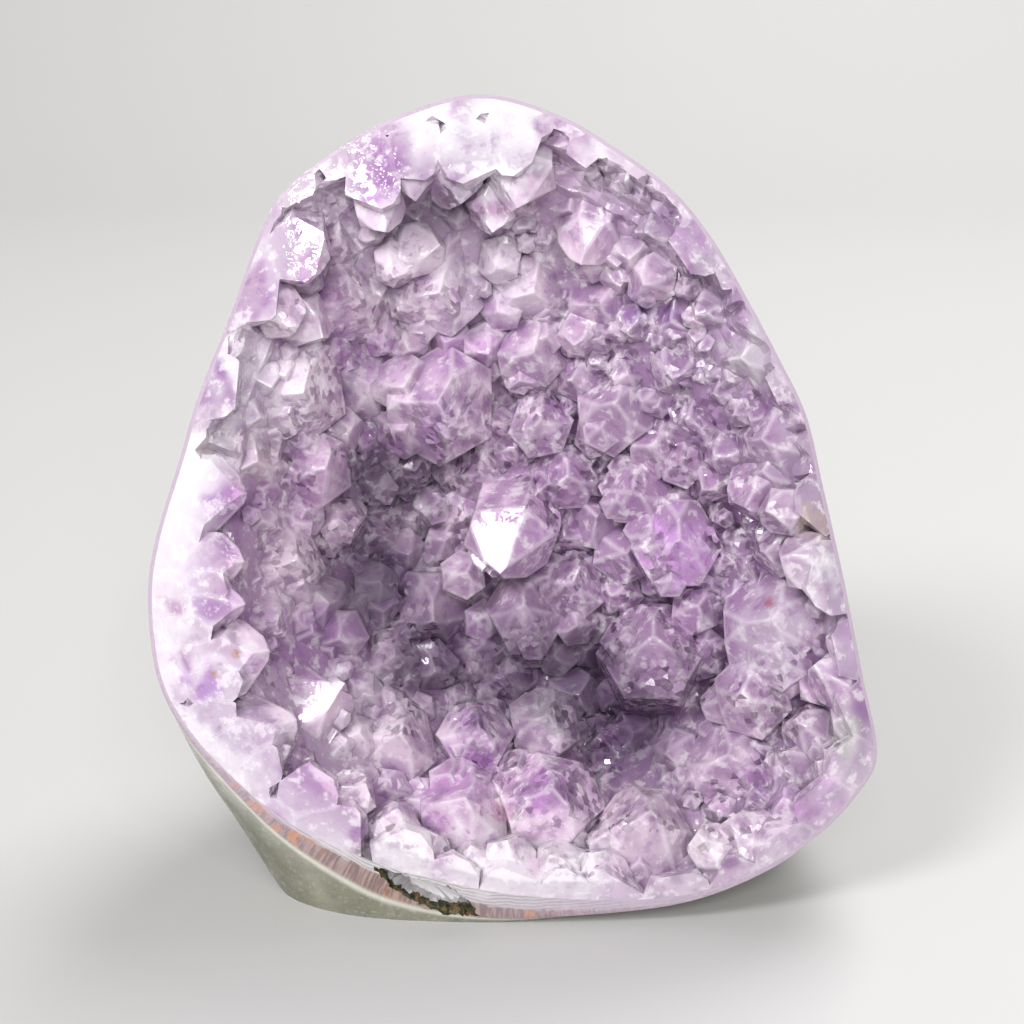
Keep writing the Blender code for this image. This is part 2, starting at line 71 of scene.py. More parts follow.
# Low lumps by height and waves around and from front to back
LUMPS = [(0.7 * MM, 3, 9), (0.5 * MM, 7, -14)]
LUMPS_FULL_FROM = 0.3
THINNEST_WALL = 1.6 * MM
RIND_AROUND = 360
RIND_RINGS = 110
WALL_RINGS = 20
RIND_FRONT_SHARES = (0, 0.2, 0.4, 0.6, 0.8, 1)
BACK_RING_SHARE = 0.985
RING_SPACING = 0.9
# Worn relief of the outside: size of the dents and their depth, and how far back they begin
DENTS_PER_METRE = 130
DENT_DEPTH = 0.45 * MM
DENTS_FROM = (0.25, 0.6)
DENT_ROUGHNESS = (0.7, 2.1, 5)
DENTS_SHARE = 0.5
MIDDLE = Vector((-1.0 * MM, -5.0 * MM))

# The rim of the front, in millimetres right of and above its middle, from the top clockwise
RIM = [
    (-4.0, 48.2), (5.0, 46.0), (13.0, 41.4), (18.8, 37.0), (23.2, 31.6), (27.0, 25.2),
    (30.8, 18.2), (34.2, 11.2), (36.2, 3.0), (38.6, -7.3), (41.0, -19.0), (42.8, -28.4),
    (40.4, -33.4), (36.0, -38.0), (29.4, -42.6), (19.6, -46.2), (5.6, -47.7), (-4.0, -47.5),
    (-13.6, -45.2), (-20.0, -42.2), (-27.4, -37.5), (-34.0, -31.0), (-38.6, -25.4),
    (-41.6, -19.0), (-42.5, -10.0), (-41.5, -3.0), (-38.6, 6.4), (-36.4, 13.6), (-32.6, 23.0),
    (-29.6, 31.2), (-26.6, 36.8), (-21.0, 41.4), (-13.6, 45.6),
]

# The broken notch that runs slantwise through the rind's lower edge, in millimetres as the rim is
NOTCH = [
    (-17.4, -40.9), (-13.6, -41.6), (-10.6, -42.7), (-7.6, -43.3), (-4.2, -45.6), (-2.4, -48.2),
    (-6.6, -48.4), (-10.0, -47.2), (-13.0, -45.4), (-15.4, -43.6),
]
NOTCH_DEPTH = 6.0 * MM
NOTCH_NARROWING = 0.6
NOTCH_ROWS = 9
NOTCH_STEP = 0.45
NOTCH_RAGGEDNESS = 0.28
NOTCH_SEED = 3

# Edges of the rock sharper than this stay sharp
ROCK_SHARP_FROM = math.radians(35)

# From the front's own axes, right, up and out of it, to the world's
TO_WORLD = (Matrix.Translation((0, -FACE_FORWARD, FACE_HEIGHT))
            @ Matrix.Rotation(math.pi / 2 - FACE_LEAN, 4, "X"))
TO_FRONT = np.array(TO_WORLD.inverted())


def rim_outline(steps_between=16):
    """The rim as a smooth closed line through its points: angles and radii about MIDDLE."""
    polar_points = []
    count = len(RIM)
    for index in range(count):
        before, start, end, after = (Vector(RIM[(index + shift) % count]) for shift in (-1, 0, 1, 2))
        for step in range(steps_between):
            t = step / steps_between
            point = 0.5 * (2 * start + (end - before) * t
                           + (2 * before - 5 * start + 4 * end - after) * t ** 2
                           + (3 * start - before - 3 * end + after) * t ** 3)
            arm = point * MM - MIDDLE
            polar_points.append((math.atan2(arm.y, arm.x), arm.length))
    return np.array(sorted(polar_points)).T


OUTLINE = rim_outline()


def rim_radius(angle):
    """Distance from MIDDLE to the rim at one angle or many."""
    return np.interp(angle, *OUTLINE, period=math.tau)


def around(angle, centre, spread):
    """A smooth bump of height 1 about one angle."""
    away = np.arctan2(np.sin(angle - centre), np.cos(angle - centre))
    return np.exp(-(away / spread) ** 2)


def smoothstep(low, high, value):
    t = np.clip((value - low) / (high - low), 0, 1)
    return t * t * (3 - 2 * t)


def dome(reach):
    """Height of the ground front above the rim's plane, at a share of the way to the rim."""
    return DOME_RISE * (1 - np.minimum(reach, 1) ** DOME_SQUARENESS)


def taper(depth, full_depth):
    """How much a round-backed form has closed in at a depth: 1 at the front, 0 at the back."""
    inner, outer = BACK_SQUARENESS
    return (1 - np.clip(depth / full_depth, 0, 1) ** inner) ** outer


def rind_wall(angle):
    """Thickness of the rind at the rim: thin, but thick along the lower edge."""
    return RIND_AT_RIM + (RIND_AT_BOTTOM - RIND_AT_RIM) * around(angle, BOTTOM_ANGLE, BOTTOM_SPREAD)


def body_radius(angle, depth):
    """Reach of the rock's outside at one depth, with its swellings, its heel and its lumps."""
    back = depth / BODY_DEPTH
    swelling = sum(height * MM * around(angle, math.radians(centre), spread)
                   for centre, spread, height in SWELLINGS)
    swelling = swelling * np.sin(math.pi * np.clip(back * SWELLING_ENDS, 0, 1)) ** SWELLING_SQUARENESS
    along, spread = HEEL_BACK
    swelling += HEEL * around(angle, HEEL_ANGLE, HEEL_SPREAD) * np.exp(-((back - along) / spread) ** 2)
    lumps = sum(height * np.sin(waves * angle + back_waves * back) for height, waves, back_waves in LUMPS)
    away_from_rim = smoothstep(0, LUMPS_FULL_FROM, back)
    outside = rim_radius(angle) * taper(depth, BODY_DEPTH) + swelling + lumps * away_from_rim
    return np.maximum(outside, cavity_radius(angle, depth) + THINNEST_WALL * away_from_rim)


def cavity_radius(angle, depth):
    """Reach of the wall between rind and crust at one depth."""
    return (rim_radius(angle) - rind_wall(angle)) * taper(depth, CAVITY_DEPTH)


def ring(angle, radius, height):
    """Points by their angles and distances from MIDDLE and their height out of the rim's plane."""
    flat = [MIDDLE.x + radius * np.cos(angle), MIDDLE.y + radius * np.sin(angle)]
    return np.stack([*flat, np.broadcast_to(height, np.shape(angle))], axis=-1)


def polar(x, y):
    """Angle about MIDDLE of a place on the front, and its share of the way to the rim."""
    angle = np.arctan2(y - MIDDLE.y, x - MIDDLE.x)
    return angle, np.hypot(x - MIDDLE.x, y - MIDDLE.y) / rim_radius(angle)


def angles(count):
    return np.arange(count) * math.tau / count


def loft(rings, front_point, back_point):
    """A closed mesh through rings of points, from the front one to the back one."""
    mesh = bmesh.new()
    rows = [[mesh.verts.new(point) for point in points] for points in rings]
    count = len(rows[0])
    for front, back in zip(rows, rows[1:]):
        for index in range(count):
            after = (index + 1) % count
            mesh.faces.new((front[index], back[index], back[after], front[after]))
    for row, point, forward in ((rows[0], front_point, True), (rows[-1], back_point, False)):
        pole = mesh.verts.new(point)
        for index in range(count):
            after = (index + 1) % count
            corners = (row[index], row[after], pole)
            mesh.faces.new(corners if forward else corners[::-1])
    bmesh.ops.recalc_face_normals(mesh, faces=mesh.faces[:])
    return mesh


def place_mesh(name, mesh):
    """Turn a bmesh in the front's own axes into an object whose mesh is in world places."""
    mesh.transform(TO_WORLD)
    data = bpy.data.meshes.new(name)
    mesh.to_mesh(data)
    mesh.free()
    piece = bpy.data.objects.new(name, data)
    bpy.context.collection.objects.link(piece)
    return piece


def dents(points, back):
    """Push the points of one ring in where the worn outside has shallow dents."""
    if back <= DENTS_FROM[0]:
        return points
    depth = DENT_DEPTH * float(smoothstep(*DENTS_FROM, back))
    moved = points.copy()
    for index, point in enumerate(points):
        bumpy = noise_field.fractal(Vector(point) * DENTS_PER_METRE, *DENT_ROUGHNESS)
        arm = np.array([*MIDDLE, point[2]]) - point
        moved[index] += arm / np.linalg.norm(arm) * depth * min(max(bumpy + DENTS_SHARE, 0), 1)
    return moved


def rind_mesh():
    """The bowl of rock in one skin: up the hollow's wall, over the ground rim and down the outside."""
    rings = []
    turn = angles(RIND_AROUND)
    for step in range(WALL_RINGS, 0, -1):
        depth = CAVITY_DEPTH * BACK_RING_SHARE * (step / WALL_RINGS) ** RING_SPACING
        rings.append(ring(turn, cavity_radius(turn, depth), -depth))
    for share in RIND_FRONT_SHARES:
        radius = rim_radius(turn) - rind_wall(turn) * (1 - share)
        rings.append(ring(turn, radius, dome(radius / rim_radius(turn))))
    for step in range(1, RIND_RINGS):
        back = BACK_RING_SHARE * (step / (RIND_RINGS - 1)) ** (1 / RING_SPACING)
        rings.append(dents(ring(turn, body_radius(turn, back * BODY_DEPTH), -back * BODY_DEPTH), back))
    return loft(rings, (*MIDDLE, -CAVITY_DEPTH), (*MIDDLE, -BODY_DEPTH))


def notch_mesh():
    """A tapering wedge with a broken outline and rough walls, to take out of the rind."""
    chance = random.Random(NOTCH_SEED)
    middle = sum((Vector(point) for point in NOTCH), Vector((0, 0))) / len(NOTCH)
    outline = []
    for start, end in zip(NOTCH, NOTCH[1:] + NOTCH[:1]):
        start, end = Vector(start), Vector(end)
        steps = max(round((end - start).length / NOTCH_STEP), 1)
        outline += [start.lerp(end, step / steps) for step in range(steps)]
    rows = []
    for row in range(NOTCH_ROWS):
        along = row / (NOTCH_ROWS - 1)
        share = 1 + (NOTCH_NARROWING - 1) * along
        height = DOME_RISE + (-NOTCH_DEPTH - DOME_RISE) * along
        points = []
        for point in outline:
            flat = middle + (point - middle) * share
            flat += Vector([chance.uniform(-NOTCH_RAGGEDNESS, NOTCH_RAGGEDNESS) for axis in "xy"])
            points.append((flat.x * MM, flat.y * MM, height))
        rows.append(points)
    return loft(rows, (*middle * MM, DOME_RISE), (*middle * MM, -NOTCH_DEPTH))


def principled(name):
    made = bpy.data.materials.new(name)
    made.use_nodes = True
    return made, made.node_tree.nodes["Principled BSDF"]


rind = place_mesh("rind", rind_mesh())
sawn = bmesh.new()
sawn.from_mesh(rind.data)
cut = bmesh.ops.bisect_plane(sawn, geom=sawn.verts[:] + sawn.edges[:] + sawn.faces[:],
                             plane_co=(0, 0, 0), plane_no=(0, 0, -1), clear_outer=True)
bmesh.ops.holes_fill(sawn, edges=[e for e in cut["geom_cut"] if isinstance(e, bmesh.types.BMEdge)],
                     sides=0)
sawn.to_mesh(rind.data)
sawn.free()
rock, rock_shader = principled("rock")
broken, broken_shader = principled("broken_rock")
backing, backing_shader = principled("vein_quartz")
notch = place_mesh("notch", notch_mesh())
rind.data.materials.append(rock)
notch.data.materials.append(broken)
breakage = rind.modifiers.new("breakage", "BOOLEAN")
breakage.operation = "DIFFERENCE"
breakage.solver = "MANIFOLD"
breakage.object = notch
breakage.material_mode = "TRANSFER"
bpy.context.view_layer.update()
chipped = bpy.data.meshes.new_from_object(rind.evaluated_get(bpy.context.evaluated_depsgraph_get()))
rind.modifiers.clear()
rind.data = chipped
bpy.data.objects.remove(notch)
rind.data.shade_smooth()
rind.data.set_sharp_from_angle(angle=ROCK_SHARP_FROM)
rind.data.materials.append(backing)


def read(collection, name, width):
    """One property of all the elements of a mesh as rows of numbers."""
    values = np.empty(len(collection) * width, np.float32)
    collection.foreach_get(name, values)
    return values.reshape(-1, width) if width > 1 else values


def write(data, name, kind, domain, values):
    """Store rows of numbers as an attribute of a mesh."""
    field = {"FLOAT": "value", "FLOAT_VECTOR": "vector", "FLOAT_COLOR": "color"}[kind]
    data.attributes.new(name, kind, domain).data.foreach_set(field, np.ravel(values).astype(np.float32))


# A distance in millimetres past all others, and how near to the rim's plane counts as on it
FAR = 99.0
ON_PLANE = 0.1 * MM
# The red-brown seam: where it lies, how far round it runs, and its width in millimetres
SEAM_ANGLE = math.radians(-108)
SEAM_SPREAD = 0.55
SEAM_WIDTH = 1.8
# How far the pale skin reaches down the outside in millimetres, and how long the seam's hatching is
SKIN_DEPTH = 3.0
HATCH_STRETCH = 0.15


def describe_rind(data):
    """Give each point its distance from the rim's edge: above 0 on the front, below 0 outside."""
    points = read(data.vertices, "co", 3)
    local = points @ TO_FRONT[:3, :3].T + TO_FRONT[:3, 3]
    angle, reach = polar(local[:, 0], local[:, 1])
    depth = -local[:, 2]
    radius = reach * rim_radius(angle)
    wall = (cavity_radius(angle, depth) + body_radius(angle, np.clip(depth, 0, BODY_DEPTH))) / 2
    in_hollow = (radius < wall) & (depth < CAVITY_DEPTH + ON_PLANE)
    from_edge = np.where(depth < ON_PLANE, rim_radius(angle) - radius, np.where(in_hollow, FAR, -depth))
    from_edge = np.where(depth < ON_PLANE, np.maximum(from_edge, 0), from_edge) / MM
    from_edge = np.clip(from_edge, -FAR, FAR)
    seam = SEAM_WIDTH * around(angle, SEAM_ANGLE, SEAM_SPREAD)
    bare = 1 - around(angle, SEAM_ANGLE, SEAM_SPREAD)
    write(data, "from_edge", "FLOAT", "POINT", from_edge)
    write(data, "from_seam", "FLOAT", "POINT", from_edge - seam)
    write(data, "skin", "FLOAT", "POINT", np.clip(1 + from_edge / SKIN_DEPTH, 0, 1) * bare)
    reach = rim_radius(angle) / MM
    spokes = np.stack([reach * np.cos(angle), reach * np.sin(angle), HATCH_STRETCH * from_edge], axis=1)
    write(data, "spokes", "FLOAT_VECTOR", "POINT", spokes)
    write(data, "bare", "FLOAT", "POINT", bare)
    behind_crust = data.materials.find("vein_quartz")
    for polygon in data.polygons:
        if from_edge[list(polygon.vertices)].min() > FAR / 2:
            polygon.material_index = behind_crust


describe_rind(rind.data)


def attribute(nodes, name, output="Fac"):
    node = nodes.new("ShaderNodeAttribute")
    node.attribute_name = name
    return node.outputs[output]


def fill_in(nodes, socket, value):
    """Give a socket a value, a colour or a link."""
    if isinstance(value, bpy.types.NodeSocket):
        nodes.id_data.links.new(value, socket)
    elif isinstance(value, tuple) and len(value) == 3 and socket.type == "RGBA":
        socket.default_value = (*value, 1)
    else:
        socket.default_value = value


def math_node(nodes, operation, *values):
    node = nodes.new("ShaderNodeMath")
    node.operation = operation
    for socket, value in zip(node.inputs, values):
        fill_in(nodes, socket, value)
    return node.outputs["Value"]


def mask(nodes, value, low, high, bottom=0.0, top=1.0):
    """A value's way from one limit to another, smoothed."""
    node = nodes.new("ShaderNodeMapRange")
    node.interpolation_type = "SMOOTHSTEP"
    for name, given in (("Value", value), ("From Min", low), ("From Max", high), ("To Min", bottom),
                        ("To Max", top)):
        fill_in(nodes, node.inputs[name], given)
    return node.outputs["Result"]


def mix(nodes, factor, first, second):
    node = nodes.new("ShaderNodeMix")
    node.data_type = "RGBA"
    for index, value in ((0, factor), (6, first), (7, second)):
        fill_in(nodes, node.inputs[index], value)
    return node.outputs[2]


def clouds_group():
    """Patches where a turbulent noise passes from one level to another."""
    group = bpy.data.node_groups.new("clouds", "ShaderNodeTree")
    sockets = (("Scale", 100.0), ("Detail", 3.0), ("Roughness", 0.55), ("From", 0.45), ("To", 0.6))
    for name, value in sockets:
        group.interface.new_socket(name, in_out="INPUT", socket_type="NodeSocketFloat").default_value = value
    group.interface.new_socket("Mask", in_out="OUTPUT", socket_type="NodeSocketFloat")
    nodes = group.nodes
    given = nodes.new("NodeGroupInput")
    place = nodes.new("ShaderNodeTexCoord")
    noise = nodes.new("ShaderNodeTexNoise")
    fill_in(nodes, noise.inputs["Vector"], place.outputs["Object"])
    for name in ("Scale", "Detail", "Roughness"):
        fill_in(nodes, noise.inputs[name], given.outputs[name])
    patches = mask(nodes, noise.outputs["Fac"], given.outputs["From"], given.outputs["To"])
    fill_in(nodes, nodes.new("NodeGroupOutput").inputs["Mask"], patches)
    return group


CLOUDS = clouds_group()


def clouds(nodes, scale, low, high, detail=3.0):
    """A mask of clouds with its own size and edges, scale in patches to the metre."""
    node = nodes.new("ShaderNodeGroup")
    node.node_tree = CLOUDS
    for name, value in (("Scale", scale), ("Detail", detail), ("From", low), ("To", high)):
        node.inputs[name].default_value = value
    return node.outputs["Mask"]


def raise_by(nodes, shader, height, normal=None):
    """Bump a material by a height in metres."""
    bump = nodes.new("ShaderNodeBump")
    bump.inputs["Distance"].default_value = 1.0
    bump.inputs["Strength"].default_value = 1.0
    fill_in(nodes, bump.inputs["Height"], height)
    if normal is not None:
        fill_in(nodes, bump.inputs["Normal"], normal)
    fill_in(nodes, shader.inputs["Normal"], bump.outputs["Normal"])


def times(nodes, value, factor):
    return math_node(nodes, "MULTIPLY", value, factor)


def noise_along(nodes, vector, scale, detail=3.0, roughness=0.5):
    noise = nodes.new("ShaderNodeTexNoise")
    noise.inputs["Scale"].default_value = scale
    noise.inputs["Detail"].default_value = detail
    noise.inputs["Roughness"].default_value = roughness
    fill_in(nodes, noise.inputs["Vector"], vector)
    return noise.outputs["Fac"]


# Colours of the rock, its pale skin, the agate with its stripes, the seam and the broken stone
DARK_ROCK = (0.165, 0.165, 0.12)
GREEN_ROCK = (0.26, 0.255, 0.195)
PALE_SKIN = ((0.56, 0.55, 0.52), (0.74, 0.72, 0.70))
AGATE = ((0.50, 0.475, 0.485), (0.33, 0.31, 0.32))
AGATE_CLOUD = (0.58, 0.55, 0.57)
AGATE_BY_SEAM = (0.30, 0.26, 0.255)
SEAM_BROWNS = ((0.19, 0.125, 0.115), (0.32, 0.235, 0.215))
RUST = (0.46, 0.205, 0.085)
RIM_LILAC = (0.42, 0.33, 0.42)
PALE_LINE = (0.60, 0.58, 0.52)
VEIN_QUARTZ = (0.85, 0.82, 0.84)
MOSS = ((0.045, 0.047, 0.024), (0.21, 0.185, 0.085))
EARTH = (0.24, 0.12, 0.05)
# Mottling of the rock: patches to the metre, where they set in and are full on a noise from 0 to 1,
# how fine it is, its strength and its colour
MOTTLING = [(620, 0.50, 0.66, 4, 0.5, (0.135, 0.132, 0.10)), (60, 0.58, 0.70, 4, 0.55, (0.28, 0.225, 0.155)),
            (1600, 0.58, 0.68, 2, 0.4, (0.38, 0.37, 0.31))]
STRIPES_PER_MM = 15.0 / math.tau
STRIPE_WOBBLE = 5.0
PIT_DEPTH = 0.025 * MM
HATCH_DEPTH = 0.05 * MM
BROKEN_RELIEF = 0.25 * MM

nodes = rock.node_tree.nodes
from_edge = attribute(nodes, "from_edge")
green = mix(nodes, clouds(nodes, 90, 0.40, 0.62), DARK_ROCK, GREEN_ROCK)
for per_metre, low, high, detail, strength, colour in MOTTLING:
    patches = times(nodes, clouds(nodes, per_metre, low, high, detail), strength)
    green = mix(nodes, patches, green, colour)
pale_skin = times(nodes, attribute(nodes, "skin"), 0.85)
pale = mix(nodes, clouds(nodes, 400, 0.4, 0.6), *PALE_SKIN)
green = mix(nodes, pale_skin, green, pale)
wobble = times(nodes, clouds(nodes, 240, 0.3, 0.7), STRIPE_WOBBLE)
across_stripes = math_node(nodes, "ADD", times(nodes, from_edge, STRIPES_PER_MM * math.tau), wobble)
stripe = math_node(nodes, "SINE", across_stripes)
stripe = mask(nodes, stripe, -0.4, 0.9)
agate = mix(nodes, stripe, *AGATE)
agate = mix(nodes, times(nodes, clouds(nodes, 300, 0.5, 0.7), 0.6), agate, AGATE_CLOUD)
from_seam = attribute(nodes, "from_seam")
agate = mix(nodes, mask(nodes, from_seam, 0.0, 0.35, 0.55, 0.0), agate, AGATE_BY_SEAM)
spokes = attribute(nodes, "spokes", "Vector")
hatch = mask(nodes, noise_along(nodes, spokes, 2.6), 0.4, 0.62)
brown = mix(nodes, hatch, *SEAM_BROWNS)
rust = clouds(nodes, 420, 0.52, 0.60, 4)
rust = math_node(nodes, "MULTIPLY", rust, mask(nodes, noise_along(nodes, spokes, 0.09, 2), 0.52, 0.60))
brown = mix(nodes, rust, brown, RUST)
ragged = times(nodes, math_node(nodes, "SUBTRACT", clouds(nodes, 900, 0.2, 0.8), 0.5), 0.5)
from_seam = math_node(nodes, "ADD", from_seam, ragged)
in_seam = mask(nodes, from_seam, -0.12, 0.12, 1.0, 0.0)
front_face = mix(nodes, in_seam, agate, brown)
outside = mask(nodes, from_edge, -0.25, -0.05, 1.0, 0.0)
pale_line = math_node(nodes, "MULTIPLY", mask(nodes, from_edge, -0.55, -0.25), outside)
front_face = mix(nodes, times(nodes, attribute(nodes, "bare"), 0.9), front_face, RIM_LILAC)
green = mix(nodes, times(nodes, pale_line, 0.7), green, PALE_LINE)
surface = mix(nodes, outside, front_face, green)
fill_in(nodes, rock_shader.inputs["Base Color"], surface)
fill_in(nodes, rock_shader.inputs["Roughness"], mask(nodes, clouds(nodes, 300, 0.3, 0.7), 0.0, 1.0, 0.2, 0.4))
in_seam = math_node(nodes, "MULTIPLY", in_seam, mask(nodes, from_edge, -0.25, -0.05))
relief = math_node(nodes, "ADD", times(nodes, clouds(nodes, 1500, 0.2, 0.8, 2), PIT_DEPTH),
                   times(nodes, math_node(nodes, "MULTIPLY", hatch, in_seam), HATCH_DEPTH))
raise_by(nodes, rock_shader, relief)

backing_shader.inputs["Base Color"].default_value = (*VEIN_QUARTZ, 1)
backing_shader.inputs["Roughness"].default_value = 0.5

nodes = broken.node_tree.nodes
moss = mix(nodes, clouds(nodes, 700, 0.42, 0.60, 4), *MOSS)
moss = mix(nodes, clouds(nodes, 420, 0.54, 0.64, 4), moss, EARTH)
fill_in(nodes, broken_shader.inputs["Base Color"], moss)
broken_shader.inputs["Roughness"].default_value = 0.75
raise_by(nodes, broken_shader, times(nodes, clouds(nodes, 1800, 0.2, 0.8, 6), BROKEN_RELIEF))

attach(rind, "root")
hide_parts("stone_rind")

# Amethyst crust
# The quartz that coats the rind and the amethyst points grown together on it. All the points are
# of one kind: six sides under three large faces, most with three small ones between them. At the
# rim they were cut flush and polished with the front.

HOLLOW_DEPTH = 15.0 * MM
HOLLOW_SQUARENESS = 2.6
ROOT_DEPTH = 6.0 * MM
RIM_ROOT_DEPTH = 5.0 * MM
RIM_OVERSHOOT = 5.0 * MM
# Deeper and shallower places: right, up, spread and depth in millimetres
DEEP_PLACES = [(-13.0, -4.0, 9.0, 6.0), (-2.0, -20.0, 9.0, 5.0), (13.0, -25.0, 8.0, 8.0)]
SHALLOW_PLACES = [(16.0, 18.0, 13.0, 5.0), (-10.0, 27.0, 9.0, 3.0)]
# Width of the ground band in millimetres, by the angle in degrees from the right
GROUND_WIDTHS = [(0, 2.6), (30, 3.6), (60, 5.0), (90, 8.5), (120, 6.0), (150, 5.5), (180, 9.5),
                 (200, 11.0), (220, 9.5), (245, 6.5), (270, 5.0), (300, 4.0), (330, 3.0)]
# How the massive quartz rises between the hollow and the rim, with its ragged waves
ROOT_RISE = (0.1, 1.0)
ROOT_RAGGEDNESS = 0.25
ROOT_WAVES = (1.3, 2.0, 0.9, 1.1)
ROOT_ABOVE_FRONT = 1.0 * MM
ROOT_BELOW_BODY = 1.0 * MM
ROOT_BACK_SHARE = 0.9
# How late on the way to the rim the hollow's floor follows the front and loses its deep places
DOME_BLEND = 6
PLACES_BLEND = 8
# Shapes of the points for a radius of 1: how far the sides and the large and small faces stand out
PYRAMID_ANGLE = math.radians(51.8)
CRYSTAL_LENGTH = 5.0
CRYSTAL_BLOCK = 3.2
CUT_TOLERANCE = 1e-7
PRISM_REACH = (0.84, 1.08)
LARGE_FACES = (-0.10, 0.02)
SMALL_FACES = (0.02, 0.20)
KIND_SEED = 5
KINDS_OF_CRYSTAL = 8
# Rows of crystals round the wall, from the rim inwards: millimetres in from the ground band,
# millimetres below the front, smallest and largest radius in millimetres, and inward lean
WALL_ROWS = [(0.6, -3.6, 3.2, 4.8, 0.7), (3.6, 2.4, 2.6, 4.2, 1.1), (6.4, 7.0, 2.4, 4.0, 0.9)]
WALL_SPACING = 1.5
WALL_SCATTER = (-1.2, 0.8)
WALL_HEIGHT_SCATTER = 0.8
WALL_LEAN_SCATTER = 0.3
WALL_LEAN_SPREAD = (0.8, 1.25)
# Crystals wherever there is still room, and small ones between and on the larger
FIELD_RIGHT = (-42, 42)
FIELD_UP = (-47, 48)
FARTHEST_OUT = 0.985
FILL_SEED = 11
FILL_SIZES = (2.6 * MM, 5.4 * MM)
FILL_CRYSTALS = 180
FILL_TRIES = 6000
FILL_DEEPER = (-1.0, 2.2)
FILL_LEAN = 0.8
FILL_LEAN_SCATTER = 0.25
CROWDING = 0.6
SMALL_SEED = 23
SMALL_SIZES = (1.1 * MM, 2.8 * MM)
SMALL_CRYSTALS = 800
SMALL_DEEPER = (2.0, 5.4)
SMALL_OUT_OF_BAND = 0.04
# Twins: small points in step on the faces of the larger ones, apart from the last few listed
UNTWINNED = 5
TWINNED_ABOVE = 3.4 * MM
TWINS_FEWEST = 1
TWINS_MOST = 3
TWIN_SIZES = (0.3, 0.6)
TWIN_OFFSETS = (0.45, 0.95)
TWIN_SWAY = 30
TWIN_DROP = 0.9
TWIN_STANDS_OUT = (0.15, 0.6)
# How far away the eye and the camera are
EYE_DISTANCE = 232.0 * MM
# Fineness of the massive quartz under the crystals and of the space that the crust fills, which
# reaches a little into the rind
ROOT_AROUND = 240
ROOT_RINGS = 60
ROOT_RING_SPACING = 0.7
SPACE_AROUND = 560
SPACE_SHARES = (0.25, 0.5)
SPACE_FINE_FROM = 0.66
SPACE_RINGS = 33
SPACE_BACK_RINGS = 15
BURIED = 0.15 * MM
BURIED_FROM = 0.15

